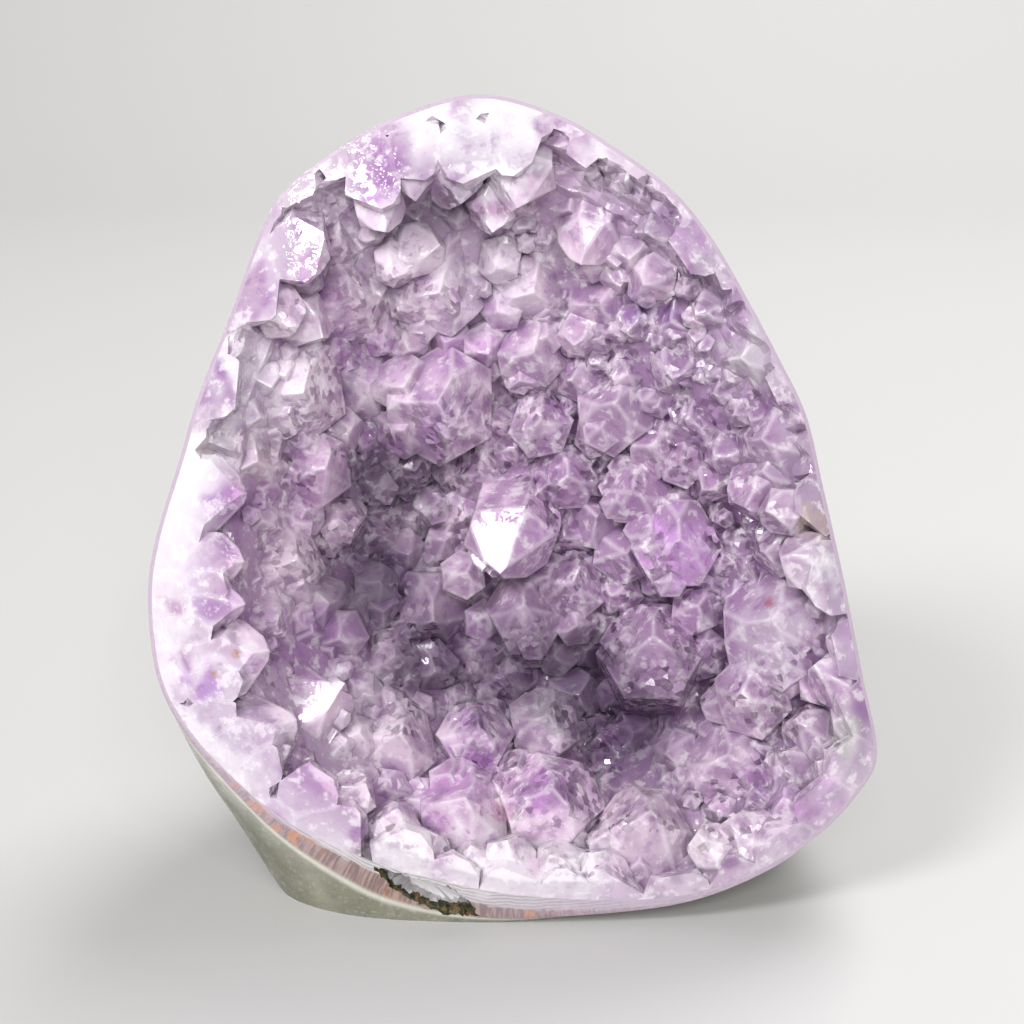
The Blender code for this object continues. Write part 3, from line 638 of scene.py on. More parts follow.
# The larger crystals, in millimetres as they look from straight in front at arm's length:
# right, up, depth of the tip, radius, lean to the right, lean upwards, turn in degrees
CRYSTALS = [
    # across the top
    (6.8, 34.4, 3.0, 4.8, -0.1, -0.4, 20), (15.4, 32.0, 0.5, 4.9, -0.4, -0.4, 15),
    (-8.2, 31.0, 3.5, 3.6, 0.70, 0.05, 165), (-20.0, 30.6, 2.0, 5.2, 0.4, -0.2, 25),
    # upper middle, below the recess under the top
    (-8.2, 25.6, 4.5, 5.8, 0.1, -0.1, 12), (-18.2, 24.4, 3.5, 5.8, 0.3, -0.1, 35),
    (2.6, 25.4, 6.5, 4.9, 0.0, -0.2, 20), (10.0, 23.6, 5.0, 4.7, -0.2, -0.1, 0),
    (18.6, 21.6, 3.0, 5.6, -0.3, -0.1, 30), (26.2, 17.6, 0.0, 5.5, -0.5, -0.1, 10),
    (2.6, 18.4, 8.0, 4.3, 0.0, 0.0, 15),
    # the broad hexagon and its neighbours
    (-8.7, 12.3, 5.5, 6.9, 0.02, -0.04, 0), (-24.2, 13.6, 2.0, 6.3, 0.3, -0.1, 8),
    (12.0, 12.4, 6.5, 5.5, -0.1, 0.1, 5), (3.6, 10.0, 10.0, 4.0, 0.0, 0.1, 40),
    (20.4, 11.0, 6.0, 4.5, -0.3, 0.1, 22), (29.0, 8.4, 0.0, 5.8, -0.5, 0.0, 12),
    (-29.4, 5.8, 1.0, 5.3, 0.4, 0.0, 30), (-21.6, 4.6, 7.0, 4.0, 0.3, 0.0, 5),
    # the bright point in the middle and the pale ones on the left
    (-1.3, -7.7, 8.5, 5.1, -0.185, -0.666, 101), (-5.4, -7.8, 13.0, 2.9, 0.1, 0.2, 5),
    (-25.2, -6.0, 4.0, 5.2, 0.4, 0.1, 25), (-27.4, -13.4, 2.0, 4.4, 0.5, 0.1, 0),
    # the pink pyramid and the pale ones on the right
    (19.9, -3.7, 4.5, 5.5, -0.02, 0.12, 30), (14.0, 2.2, 8.0, 4.4, -0.1, 0.1, 25),
    (19.6, 5.0, 7.0, 2.9, -0.2, 0.0, 10), (6.4, 3.4, 11.5, 4.0, 0.0, 0.1, 33),
    (16.2, -15.0, 7.0, 6.2, -0.1, 0.45, 30), (30.0, -12.8, -0.5, 7.2, -0.3, 0.2, 3),
    (7.4, -9.0, 13.5, 4.5, 0.0, 0.2, 10), (1.4, -11.6, 13.5, 4.7, 0.0, 0.3, 30),
    # the lower left
    (-19.8, -20.8, 3.5, 4.8, 0.92, 0.657, -177), (-12.7, -26.6, 5.5, 5.4, 0.2, 0.4, 12),
    (-13.6, -17.6, 12.0, 4.3, 0.2, 0.2, 38),
    # the foot of the hollow
    (4.7, -32.4, 1.0, 6.3, 0.05, 0.5, 17), (-5.4, -33.4, 0.0, 5.6, 0.1, 0.5, 3),
    (16.2, -35.2, 0.0, 5.6, 0.0, 0.6, 25), (-4.0, -25.6, 7.0, 4.7, 0.1, 0.4, 30),
    (4.0, -24.4, 9.5, 4.5, 0.0, 0.4, 8), (25.2, -28.8, 4.0, 5.6, -0.2, 0.4, 20),
    (27.0, -21.4, 3.0, 4.5, -0.3, 0.2, 15),
    # the cut ones on the left of the rim
    (-30.4, 2.3, -3.6, 4.3, 2.2, 0.0, 0), (-30.9, -5.6, -3.6, 3.3, 2.2, 0.1, 10),
    (-31.2, -10.6, -3.6, 3.2, 2.2, 0.0, 20), (-27.9, -16.0, -3.6, 4.1, 2.0, 0.4, 5),
    (-25.0, -24.2, -3.2, 5.4, 1.7, 0.9, 12),
]


def band_share(angle):
    """Share of the way to the rim at which the ground band begins."""
    degrees, widths = zip(*GROUND_WIDTHS)
    return 1 - np.interp(np.degrees(angle), degrees, widths, period=360) * MM / rim_radius(angle)


def tip_depth(x, y):
    """How deep the crystals' tips lie below the rim's plane at a place in the hollow."""
    angle, reach = polar(x, y)
    band = band_share(angle)
    inward = np.minimum(reach / band, 1)
    depth = HOLLOW_DEPTH * (1 - inward ** HOLLOW_SQUARENESS) - dome(reach) * inward ** DOME_BLEND
    for places, sign in ((DEEP_PLACES, 1), (SHALLOW_PLACES, -1)):
        for right, up, spread, amount in places:
            away = np.hypot(x / MM - right, y / MM - up) / spread
            depth = depth + sign * amount * MM * np.exp(-away ** 2) * (1 - inward ** PLACES_BLEND)
    return np.where(reach > band, -dome(reach) - RIM_OVERSHOOT, depth)


def root_height(x, y):
    """Height of the massive quartz that the crystals stand on."""
    angle, reach = polar(x, y)
    band = band_share(angle)
    across, sway, swaying, upward = ROOT_WAVES
    ragged = np.sin(x / MM * across + sway * np.sin(y / MM * swaying)) * np.sin(y / MM * upward)
    along = (reach - band) / (1 - band) + ROOT_RAGGEDNESS * ragged
    in_hollow = -tip_depth(x, y) - ROOT_DEPTH
    in_hollow = np.where(reach > band, dome(reach) - RIM_ROOT_DEPTH, in_hollow)
    in_rim = dome(reach) + ROOT_ABOVE_FRONT
    return in_hollow + (in_rim - in_hollow) * smoothstep(*ROOT_RISE, along)


def slice_off(mesh, point, outward):
    """Cut a convex mesh with a plane, keep what is behind it and close the cut."""
    parts = mesh.verts[:] + mesh.edges[:] + mesh.faces[:]
    cut = bmesh.ops.bisect_plane(mesh, geom=parts, plane_co=point, plane_no=outward,
                                 dist=CUT_TOLERANCE, clear_outer=True)
    edges = [part for part in cut["geom_cut"] if isinstance(part, bmesh.types.BMEdge)]
    if edges:
        bmesh.ops.holes_fill(mesh, edges=edges, sides=0)


def crystal_kinds():
    """Quartz points of radius 1 with the tip near the origin, each by its faces' planes."""
    chance = random.Random(KIND_SEED)
    made = []
    for number in range(KINDS_OF_CRYSTAL):
        planes = []
        for side in range(6):
            angle = side * math.tau / 6
            outward = Vector((math.cos(angle), math.sin(angle), 0))
            planes.append((outward, chance.uniform(*PRISM_REACH)))
            slope = outward * math.sin(PYRAMID_ANGLE) + Vector((0, 0, math.cos(PYRAMID_ANGLE)))
            planes.append((slope, chance.uniform(*(SMALL_FACES if side % 2 else LARGE_FACES))))
        made.append(planes)
    return made


def crystal_mesh(planes):
    """A long block cut down to a quartz point by the planes of its faces."""
    mesh = bmesh.new()
    bmesh.ops.create_cube(mesh, size=1, matrix=Matrix.Translation((0, 0, -CRYSTAL_LENGTH / 2))
                          @ Matrix.Diagonal((CRYSTAL_BLOCK, CRYSTAL_BLOCK, CRYSTAL_LENGTH, 1)))
    for outward, reach in planes:
        slice_off(mesh, outward * reach, outward)
    return mesh


KINDS = crystal_kinds()


def crystal_places():
    """Tip, axis, turn, radius and kind of every crystal."""
    chance = random.Random(FILL_SEED)
    places = []
    taken = []

    def stand(x, y, depth, radius, lean, turn):
        axis = Vector((lean[0], lean[1], 1)).normalized()
        places.append((Vector((x, y, -depth)), axis, turn, radius, chance.randrange(KINDS_OF_CRYSTAL)))

    def crowded(x, y, radius):
        return any(math.hypot(x - a, y - b) < CROWDING * (radius + r) for a, b, r in taken)

    def scatter(number, sizes, deeper, small):
        """Stand crystals at random where the room allows, or small ones between all the others."""
        placed = 0
        for attempt in range(FILL_TRIES):
            x = chance.uniform(*FIELD_RIGHT) * MM
            y = chance.uniform(*FIELD_UP) * MM
            radius = chance.uniform(*sizes)
            angle, reach = polar(x, y)
            farthest = band_share(angle) - SMALL_OUT_OF_BAND if small else FARTHEST_OUT
            if reach > farthest or (not small and crowded(x, y, radius)):
                continue
            depth = float(tip_depth(x, y)) + chance.uniform(*deeper) * MM
            lean = (MIDDLE - Vector((x, y))).normalized() * FILL_LEAN * reach ** 2
            lean += Vector((chance.uniform(-FILL_LEAN_SCATTER, FILL_LEAN_SCATTER),
                            chance.uniform(-FILL_LEAN_SCATTER, FILL_LEAN_SCATTER)))
            stand(x, y, depth, radius, lean, chance.uniform(0, math.tau))
            taken.append((x, y, radius))
            placed += 1
            if placed == number:
                break

    for right, up, depth, radius, lean_right, lean_up, turn in CRYSTALS:
        further = 1 + depth * MM / EYE_DISTANCE
        x, y = right * MM * further, up * MM * further
        taken.append((x, y, radius * MM))
        stand(x, y, depth * MM, radius * MM, (lean_right, lean_up), math.radians(turn))

    wall = []
    for inside, below, smallest, largest, strength in WALL_ROWS:
        angle = 0.0
        while angle < math.tau:
            radius = chance.uniform(smallest, largest) * MM
            reach = band_share(angle) * rim_radius(angle) - inside * MM + chance.uniform(*WALL_SCATTER) * MM
            x, y = MIDDLE.x + reach * math.cos(angle), MIDDLE.y + reach * math.sin(angle)
            height = dome(reach / rim_radius(angle)) - below * MM
            height += chance.uniform(-WALL_HEIGHT_SCATTER, WALL_HEIGHT_SCATTER) * MM
            lean = (MIDDLE - Vector((x, y))).normalized() * strength * chance.uniform(*WALL_LEAN_SPREAD)
            lean += Vector((chance.uniform(-WALL_LEAN_SCATTER, WALL_LEAN_SCATTER),
                            chance.uniform(-WALL_LEAN_SCATTER, WALL_LEAN_SCATTER)))
            turn = chance.uniform(0, math.tau)
            angle += WALL_SPACING * radius / reach
            if not crowded(x, y, radius):
                stand(x, y, -height, radius, lean, turn)
                wall.append((x, y, radius))
    taken += wall
    scatter(FILL_CRYSTALS, FILL_SIZES, FILL_DEEPER, small=False)

    chance = random.Random(SMALL_SEED)
    for tip, axis, turn, radius, kind in places[:len(CRYSTALS) - UNTWINNED]:
        if radius < TWINNED_ABOVE:
            continue
        upright = Vector((0, 0, 1)).rotation_difference(axis)
        for number in range(chance.randrange(TWINS_FEWEST, TWINS_MOST + 1)):
            size = radius * chance.uniform(*TWIN_SIZES)
            around_it = 60 * chance.randrange(1, 6) + chance.uniform(-TWIN_SWAY, TWIN_SWAY)
            side = turn + math.radians(around_it)
            away = radius * chance.uniform(*TWIN_OFFSETS)
            drop = away * math.tan(PYRAMID_ANGLE) * TWIN_DROP - size * chance.uniform(*TWIN_STANDS_OUT)
            offset = upright @ Vector((away * math.cos(side), away * math.sin(side), -drop))
            places.append((tip + offset, axis, turn, size, chance.randrange(KINDS_OF_CRYSTAL)))
    scatter(SMALL_CRYSTALS, SMALL_SIZES, SMALL_DEEPER, small=True)
    return places


def crust_base():
    """The massive quartz under the crystals."""
    rings = []
    turn = angles(ROOT_AROUND)
    for step in range(1, ROOT_RINGS + 1):
        points = ring(turn, rim_radius(turn) * (step / ROOT_RINGS) ** ROOT_RING_SPACING, 0)
        points[:, 2] = root_height(points[:, 0], points[:, 1])
        rings.append(points)
    rings.append(ring(turn, rim_radius(turn) * ROOT_BACK_SHARE, -BODY_DEPTH))
    middle = (*MIDDLE, float(root_height(*MIDDLE)))
    mesh = loft(rings, middle, (*MIDDLE, -BODY_DEPTH - ROOT_BELOW_BODY))
    bmesh.ops.triangulate(mesh, faces=mesh.faces[:])
    return mesh


def crust_space():
    """The space that the crust fills, a little into the rind, bounded by the ground front."""
    rings = []
    turn = angles(SPACE_AROUND)
    for share in (*SPACE_SHARES, *np.linspace(SPACE_FINE_FROM, 1, SPACE_RINGS)):
        radius = cavity_radius(turn, 0) * share
        rings.append(ring(turn, radius, dome(radius / rim_radius(turn))))
    for step in range(1, SPACE_BACK_RINGS + 1):
        depth = CAVITY_DEPTH * BACK_RING_SHARE * (step / SPACE_BACK_RINGS) ** RING_SPACING
        bury = BURIED * smoothstep(0, BURIED_FROM, depth / CAVITY_DEPTH)
        rings.append(ring(turn, cavity_radius(turn, depth) + bury, -depth - bury))
    mesh = loft(rings, (*MIDDLE, DOME_RISE), (*MIDDLE, -CAVITY_DEPTH - BURIED))
    bmesh.ops.triangulate(mesh, faces=mesh.faces[:])
    return mesh


def druse_tree():
    """Stands a crystal on every point, grows them together with their base and cuts them flush."""
    tree = bpy.data.node_groups.new("druse", "GeometryNodeTree")
    sockets = tree.interface
    sockets.new_socket("Points", in_out="INPUT", socket_type="NodeSocketGeometry")
    for name, kind in (("Kinds", "NodeSocketCollection"), ("Base", "NodeSocketObject"),
                       ("Space", "NodeSocketObject"), ("Finish", "NodeSocketMaterial")):
        sockets.new_socket(name, in_out="INPUT", socket_type=kind)
    sockets.new_socket("Crust", in_out="OUTPUT", socket_type="NodeSocketGeometry")
    nodes = tree.nodes
    link = tree.links.new
    given = nodes.new("NodeGroupInput")
    result = nodes.new("NodeGroupOutput")

    def named(name, kind):
        node = nodes.new("GeometryNodeInputNamedAttribute")
        node.data_type = kind
        node.inputs["Name"].default_value = name
        return node.outputs["Attribute"]

    choices = nodes.new("GeometryNodeCollectionInfo")
    choices.inputs["Separate Children"].default_value = True
    choices.inputs["Reset Children"].default_value = True
    link(given.outputs["Kinds"], choices.inputs["Collection"])
    stand = nodes.new("GeometryNodeInstanceOnPoints")
    stand.inputs["Pick Instance"].default_value = True
    link(given.outputs["Points"], stand.inputs["Points"])
    link(choices.outputs["Instances"], stand.inputs["Instance"])
    link(named("kind", "INT"), stand.inputs["Instance Index"])
    link(named("pose", "QUATERNION"), stand.inputs["Rotation"])
    link(named("radius", "FLOAT"), stand.inputs["Scale"])
    shapes = []
    for name in ("Base", "Space"):
        info = nodes.new("GeometryNodeObjectInfo")
        link(given.outputs[name], info.inputs["Object"])
        shapes.append(info.outputs["Geometry"])
    grow = nodes.new("GeometryNodeMeshBoolean")
    grow.operation = "UNION"
    grow.solver = "MANIFOLD"
    link(stand.outputs["Instances"], grow.inputs["Mesh 2"])
    link(shapes[0], grow.inputs["Mesh 2"])
    grind = nodes.new("GeometryNodeMeshBoolean")
    grind.operation = "INTERSECT"
    grind.solver = "MANIFOLD"
    link(grow.outputs["Mesh"], grind.inputs["Mesh 2"])
    link(shapes[1], grind.inputs["Mesh 2"])
    realize = nodes.new("GeometryNodeRealizeInstances")
    finish = nodes.new("GeometryNodeSetMaterial")
    link(grind.outputs["Mesh"], realize.inputs["Geometry"])
    link(realize.outputs["Geometry"], finish.inputs["Geometry"])
    link(given.outputs["Finish"], finish.inputs["Material"])
    link(finish.outputs["Geometry"], result.inputs["Crust"])
    return tree


kinds = bpy.data.collections.new("crystal_kinds")
for number, planes in enumerate(KINDS):
    kind_mesh = bpy.data.meshes.new(f"kind_{number:02d}")
    shape = crystal_mesh(planes)
    shape.to_mesh(kind_mesh)
    shape.free()
    kinds.objects.link(bpy.data.objects.new(kind_mesh.name, kind_mesh))

places = crystal_places()
turn_front = TO_WORLD.to_quaternion()
poses = []
for tip, axis, turn, radius, kind in places:
    upright = Vector((0, 0, 1)).rotation_difference(axis)
    poses.append(turn_front @ upright @ Matrix.Rotation(turn, 3, "Z").to_quaternion())
cloud = bpy.data.meshes.new("crystal_places")
cloud.from_pydata([TO_WORLD @ place[0] for place in places], [], [])
cloud.attributes.new("pose", "QUATERNION", "POINT").data.foreach_set("value", [v for q in poses for v in q])
cloud.attributes.new("radius", "FLOAT", "POINT").data.foreach_set("value", [p[3] for p in places])
cloud.attributes.new("kind", "INT", "POINT").data.foreach_set("value", [p[4] for p in places])
crust = bpy.data.objects.new("crust", cloud)
bpy.context.collection.objects.link(crust)

amethyst, stone = principled("amethyst")
tree = druse_tree()
base = place_mesh("crust_base", crust_base())
space = place_mesh("crust_space", crust_space())
growth = crust.modifiers.new("druse", "NODES")
growth.node_group = tree
for name, value in (("Kinds", kinds), ("Base", base), ("Space", space), ("Finish", amethyst)):
    identifier = next(item.identifier for item in tree.interface.items_tree
                      if item.name == name and item.in_out == "INPUT")
    growth[identifier] = value
bpy.context.view_layer.update()
grown = bpy.data.meshes.new_from_object(crust.evaluated_get(bpy.context.evaluated_depsgraph_get()))
crust.modifiers.clear()
crust.data = grown
bpy.data.objects.remove(base)
bpy.data.objects.remove(space)


def keep_largest_shell(data):
    """Drop the closed pockets that crowding crystals leave between them."""
    mesh = bmesh.new()
    mesh.from_mesh(data)
    unseen = set(mesh.faces)
    shells = []
    while unseen:
        shell = [unseen.pop()]
        for face in shell:
            for edge in face.edges:
                for near in edge.link_faces:
                    if near in unseen:
                        unseen.remove(near)
                        shell.append(near)
        shells.append(shell)
    shells.sort(key=len)
    lost = [face for shell in shells[:-1] for face in shell]
    bmesh.ops.delete(mesh, geom=lost, context="FACES")
    mesh.to_mesh(data)
    mesh.free()


LONGEST_EDGE = 1.5 * MM
HALVINGS = 4
CRYSTAL_SHARP_FROM = math.radians(10)


def split_long_edges(data):
    """Give the facets points enough for the colours that are stored on them."""
    mesh = bmesh.new()
    mesh.from_mesh(data)
    bmesh.ops.triangulate(mesh, faces=mesh.faces[:])
    outward = Vector(TO_WORLD.col[2][:3])
    for halving in range(HALVINGS):
        long_ones = [edge for edge in mesh.edges if edge.calc_length() > LONGEST_EDGE
                     and any(face.normal.dot(outward) > 0 for face in edge.link_faces)]
        if not long_ones:
            break
        bmesh.ops.subdivide_edges(mesh, edges=long_ones, cuts=1)
        bmesh.ops.triangulate(mesh, faces=[face for face in mesh.faces if len(face.verts) > 3])
    mesh.to_mesh(data)
    mesh.free()


keep_largest_shell(crust.data)
split_long_edges(crust.data)
crust.data.shade_smooth()
crust.data.set_sharp_from_angle(angle=CRYSTAL_SHARP_FROM)


# Faces of a crystal at most, and ridges that are kept of each facet
MOST_FACES = 12
NEAR_RIDGES = 6
# How near to the ground front or to a crystal's face a place counts as on it
ON_FRONT = 0.06 * MM
ON_CRYSTAL = 0.02 * MM
FRONT_ENDS_BELOW = 0.2 * MM
# Cosine past which two planes are the same one, and the least square of the sine between two others
SAME_PLANE = 0.999
LEAST_SLANT = 0.09
# How many places are worked out at a time
AT_ONCE = 1024
# Painted shade where the hollow lies deep and under the top: right, up and spread in millimetres, and
# strength
HOLLOW_SHADE_PLACES = [(-14.5, 3.0, 6.5, 0.8), (-15.5, -9.0, 7.5, 0.95), (-10.0, -17.5, 7.0, 0.9),
         (0.0, -19.0, 7.5, 0.85), (9.0, -20.0, 6.5, 0.9), (13.0, -25.5, 7.0, 1.0),
         (-9.0, 36.0, 4.5, 0.6), (20.0, -20.0, 4.0, 0.5)]
HOLLOW_SHADE_EDGE = 3
# Where the rim is whitest, partly from the white frost of its crystals and partly as painted light, strongest
# on the left where the light falls: angle and spread in degrees, and strength
RIM_WHITE_AND_LIGHT = [(-100, 45, 0.8), (165, 45, 1.0), (-155, 35, 0.85), (95, 28, 0.85), (30, 22, 0.4),
             (-25, 25, 0.35)]
# How far in from the rim, in millimetres, the white is gone and is full
RIM_WHITE_AND_LIGHT_REACH = (10.0, 2.0)

# Every crystal's faces as planes in world places, twelve to a crystal
normals = np.zeros((len(places), MOST_FACES, 3), np.float32)
offsets = np.zeros((len(places), MOST_FACES), np.float32)
for number, (tip, axis, turn, radius, kind) in enumerate(places):
    planes = KINDS[kind]
    for slot in range(MOST_FACES):
        outward, reach = planes[slot % len(planes)]
        outward = poses[number] @ outward
        normals[number, slot] = outward
        offsets[number, slot] = outward.dot(TO_WORLD @ tip) + radius * reach


def outside_of_crystals(points):
    """How far each point lies outside each crystal, as rows; below 0 it lies inside."""
    away = points @ normals.reshape(-1, 3).T - offsets.reshape(-1)
    return away.reshape(len(points), len(places), MOST_FACES).max(axis=2)


# Stains, inclusions and crystals of another tint, and painted shade on the side away from the light: the
# broad dark patch over the middle and right and the dark ones at the right edge and lower right. In
# millimetres as seen from in
# front: right, up, size, strength and colour
STAINS_AND_SHADE = [
    (-27.0, 15.0, 7.5, 0.65, (0.92, 0.83, 0.91)), (-20.0, -26.0, 7.0, 0.5, (0.90, 0.80, 0.88)),
    # Painted shade in this row: the broad dark patch over the middle and right, and the dark one at the right
    # edge
    (18.0, -3.0, 36.0, 0.8, (0.35, 0.21, 0.37)), (37.0, -4.0, 6.5, 0.4, (0.45, 0.36, 0.44)),
    (-1.3, -7.7, 6.0, 0.5, (0.46, 0.31, 0.46)), (-33.0, -21.0, 6.5, 0.65, (0.96, 0.85, 0.96)),
    (-15.0, 31.0, 6.5, 0.55, (0.90, 0.81, 0.90)),
    (-1.0, 27.0, 7.5, 0.55, (0.90, 0.80, 0.90)), (-4.0, 43.0, 8.0, 0.7, (0.93, 0.88, 0.93)),
    # Painted shade in this row: the two dark patches at the lower right
    (35.0, -27.5, 7.0, 0.65, (0.36, 0.27, 0.36)), (18.0, -36.5, 7.5, 0.35, (0.44, 0.35, 0.42)),
    (-17.6, -40.4, 0.9, 0.85, (0.11, 0.09, 0.07)),
    (-36.1, 7.7, 1.3, 0.85, (0.85, 0.62, 0.20)), (35.3, -1.5, 2.4, 0.65, (0.62, 0.52, 0.34)),
    (36.7, -6.7, 2.6, 0.85, (0.92, 0.90, 0.92)), (39.3, -26.5, 2.4, 0.6, (0.42, 0.46, 0.38)),
    (30.0, -10.9, 0.8, 0.8, (0.40, 0.08, 0.12)), (-0.8, -36.0, 2.0, 0.5, (0.46, 0.20, 0.32)),
    (-35.7, -20.7, 2.6, 0.7, (0.56, 0.26, 0.74)), (-31.6, -16.0, 0.6, 0.85, (0.55, 0.28, 0.08)),
    (-34.5, -18.6, 0.5, 0.85, (0.55, 0.28, 0.08)), (14.5, 22.7, 2.4, 0.6, (0.28, 0.11, 0.42)),
    (17.9, 22.7, 1.6, 0.6, (0.28, 0.11, 0.42)), (-3.0, 42.0, 5.5, 0.5, (0.86, 0.83, 0.88)),
    (27.4, 18.3, 3.0, 0.75, (0.86, 0.85, 0.84)), (5.6, -24.2, 3.2, 0.5, (0.46, 0.46, 0.46)),
    (-29.5, 5.6, 4.0, 0.5, (0.60, 0.42, 0.48)), (19.9, -5.0, 4.4, 0.65, (0.72, 0.38, 0.82)),
    (30.0, -14.0, 5.5, 0.45, (0.74, 0.68, 0.77)), (-37.0, -6.0, 2.2, 0.55, (0.55, 0.34, 0.70)),
    (-35.5, 2.0, 2.6, 0.35, (0.62, 0.44, 0.74)), (-15.0, 17.0, 3.0, 0.35, (0.60, 0.30, 0.70)),
    (-9.0, 11.0, 3.2, 0.4, (0.52, 0.28, 0.60)), (24.0, 30.0, 3.5, 0.5, (0.80, 0.78, 0.78)),
    (-2.0, -41.0, 5.5, 0.65, (0.88, 0.85, 0.88)), (-13.0, -40.0, 3.6, 0.85, (0.90, 0.88, 0.89)),
    (8.0, -42.0, 4.0, 0.65, (0.86, 0.84, 0.88)), (-38.5, 8.0, 3.4, 0.7, (0.93, 0.91, 0.92)),
    (-36.0, 16.0, 3.0, 0.6, (0.92, 0.90, 0.93)), (-33.0, -27.0, 4.5, 0.5, (0.90, 0.82, 0.92)),
]


# How ragged the edge of a stain or of a patch of painted shade is, by a share of its size, how coarse, and
# where it begins and ends
STAIN_RAGGEDNESS = 0.9
STAIN_GRAIN = 2.0
STAIN_EDGE = (0.55, 1.15)


def stain_and_shade_colours(seen):
    """Colour and strength of the stains and of the painted shade at places seen from in front, with ragged
    edges.
    """
    colour = np.zeros((len(seen), 3))
    cover = np.zeros(len(seen))
    for right, up, size, strength, tint in STAINS_AND_SHADE:
        away = np.hypot(seen[:, 0] - right, seen[:, 1] - up)
        for index in np.nonzero(away < 2 * size)[0]:
            spot = Vector((seen[index, 0], seen[index, 1], size)) / STAIN_GRAIN
            away[index] += size * STAIN_RAGGEDNESS * noise_field.noise(spot)
        part = strength * (1 - smoothstep(*STAIN_EDGE, away / size))
        colour = colour * (1 - part)[:, None] + part[:, None] * np.array(tint)
        cover = cover * (1 - part) + part
    colour = colour / np.maximum(cover, 1e-6)[:, None]
    return np.concatenate([colour, cover[:, None]], axis=1)


# The quartz's colours, the colour of the painted shade in its crevices, and the patches of purple, of white
# rime (partly painted light) and of flaky growth: how many to the metre, and the levels of a noise from -1 to
# 1 between which they set in
LILAC = (0.80, 0.64, 0.77)
PURPLE = (0.44, 0.20, 0.51)
GREY_LILAC = (0.63, 0.51, 0.58)
PINK_LILAC = (0.74, 0.40, 0.72)
NEAR_WHITE = (0.90, 0.82, 0.87)
# Colour of the painted shade in the crevices between crystals
CREVICE_SHADE_COLOUR = (0.17, 0.085, 0.21)
PATCHES = (85, -0.10, 0.45)
RIME_PATCHES = (130, -0.45, 0.0)
FLAKY_PATCHES = (105, -0.15, 0.1)
FLAKY_ON_FRONT = 0.15
DRIFT_ROUGHNESS = (0.8, 2.0, 3)
# Strength of the tints that differ from crystal to crystal, and of the painted shade in the crevices
# between crystals, with how far below the tips, in millimetres, it sets in and is full
GREY_STRENGTH = 0.6
PINK_STRENGTH = 0.4
WHITE_STRENGTH = 0.6
WHITE_FROM = 0.7
CREVICE_SHADE_STRENGTH = 0.55
CREVICE_SHADE_BELOW_TIPS = (1.0, 6.5)
# The three crystals with a face that mirrors the light: right, up and size in millimetres
BRIGHT_CRYSTALS = [(-1.3, -7.7, 7.0), (-8.2, 31.0, 4.5), (-19.8, -20.8, 5.5)]
BRIGHT_EDGE = (0.8, 1.1)


def drifts(points, kind, chosen=slice(None)):
    """A mask of drifting patches at the chosen points."""
    per_metre, low, high = kind
    bumpy = np.array([noise_field.fractal(Vector(point) * per_metre, *DRIFT_ROUGHNESS) for point in points])
    return smoothstep(low, high, bumpy)[chosen]


def blend(first, second, share):
    return first + (second - first) * share[:, None]


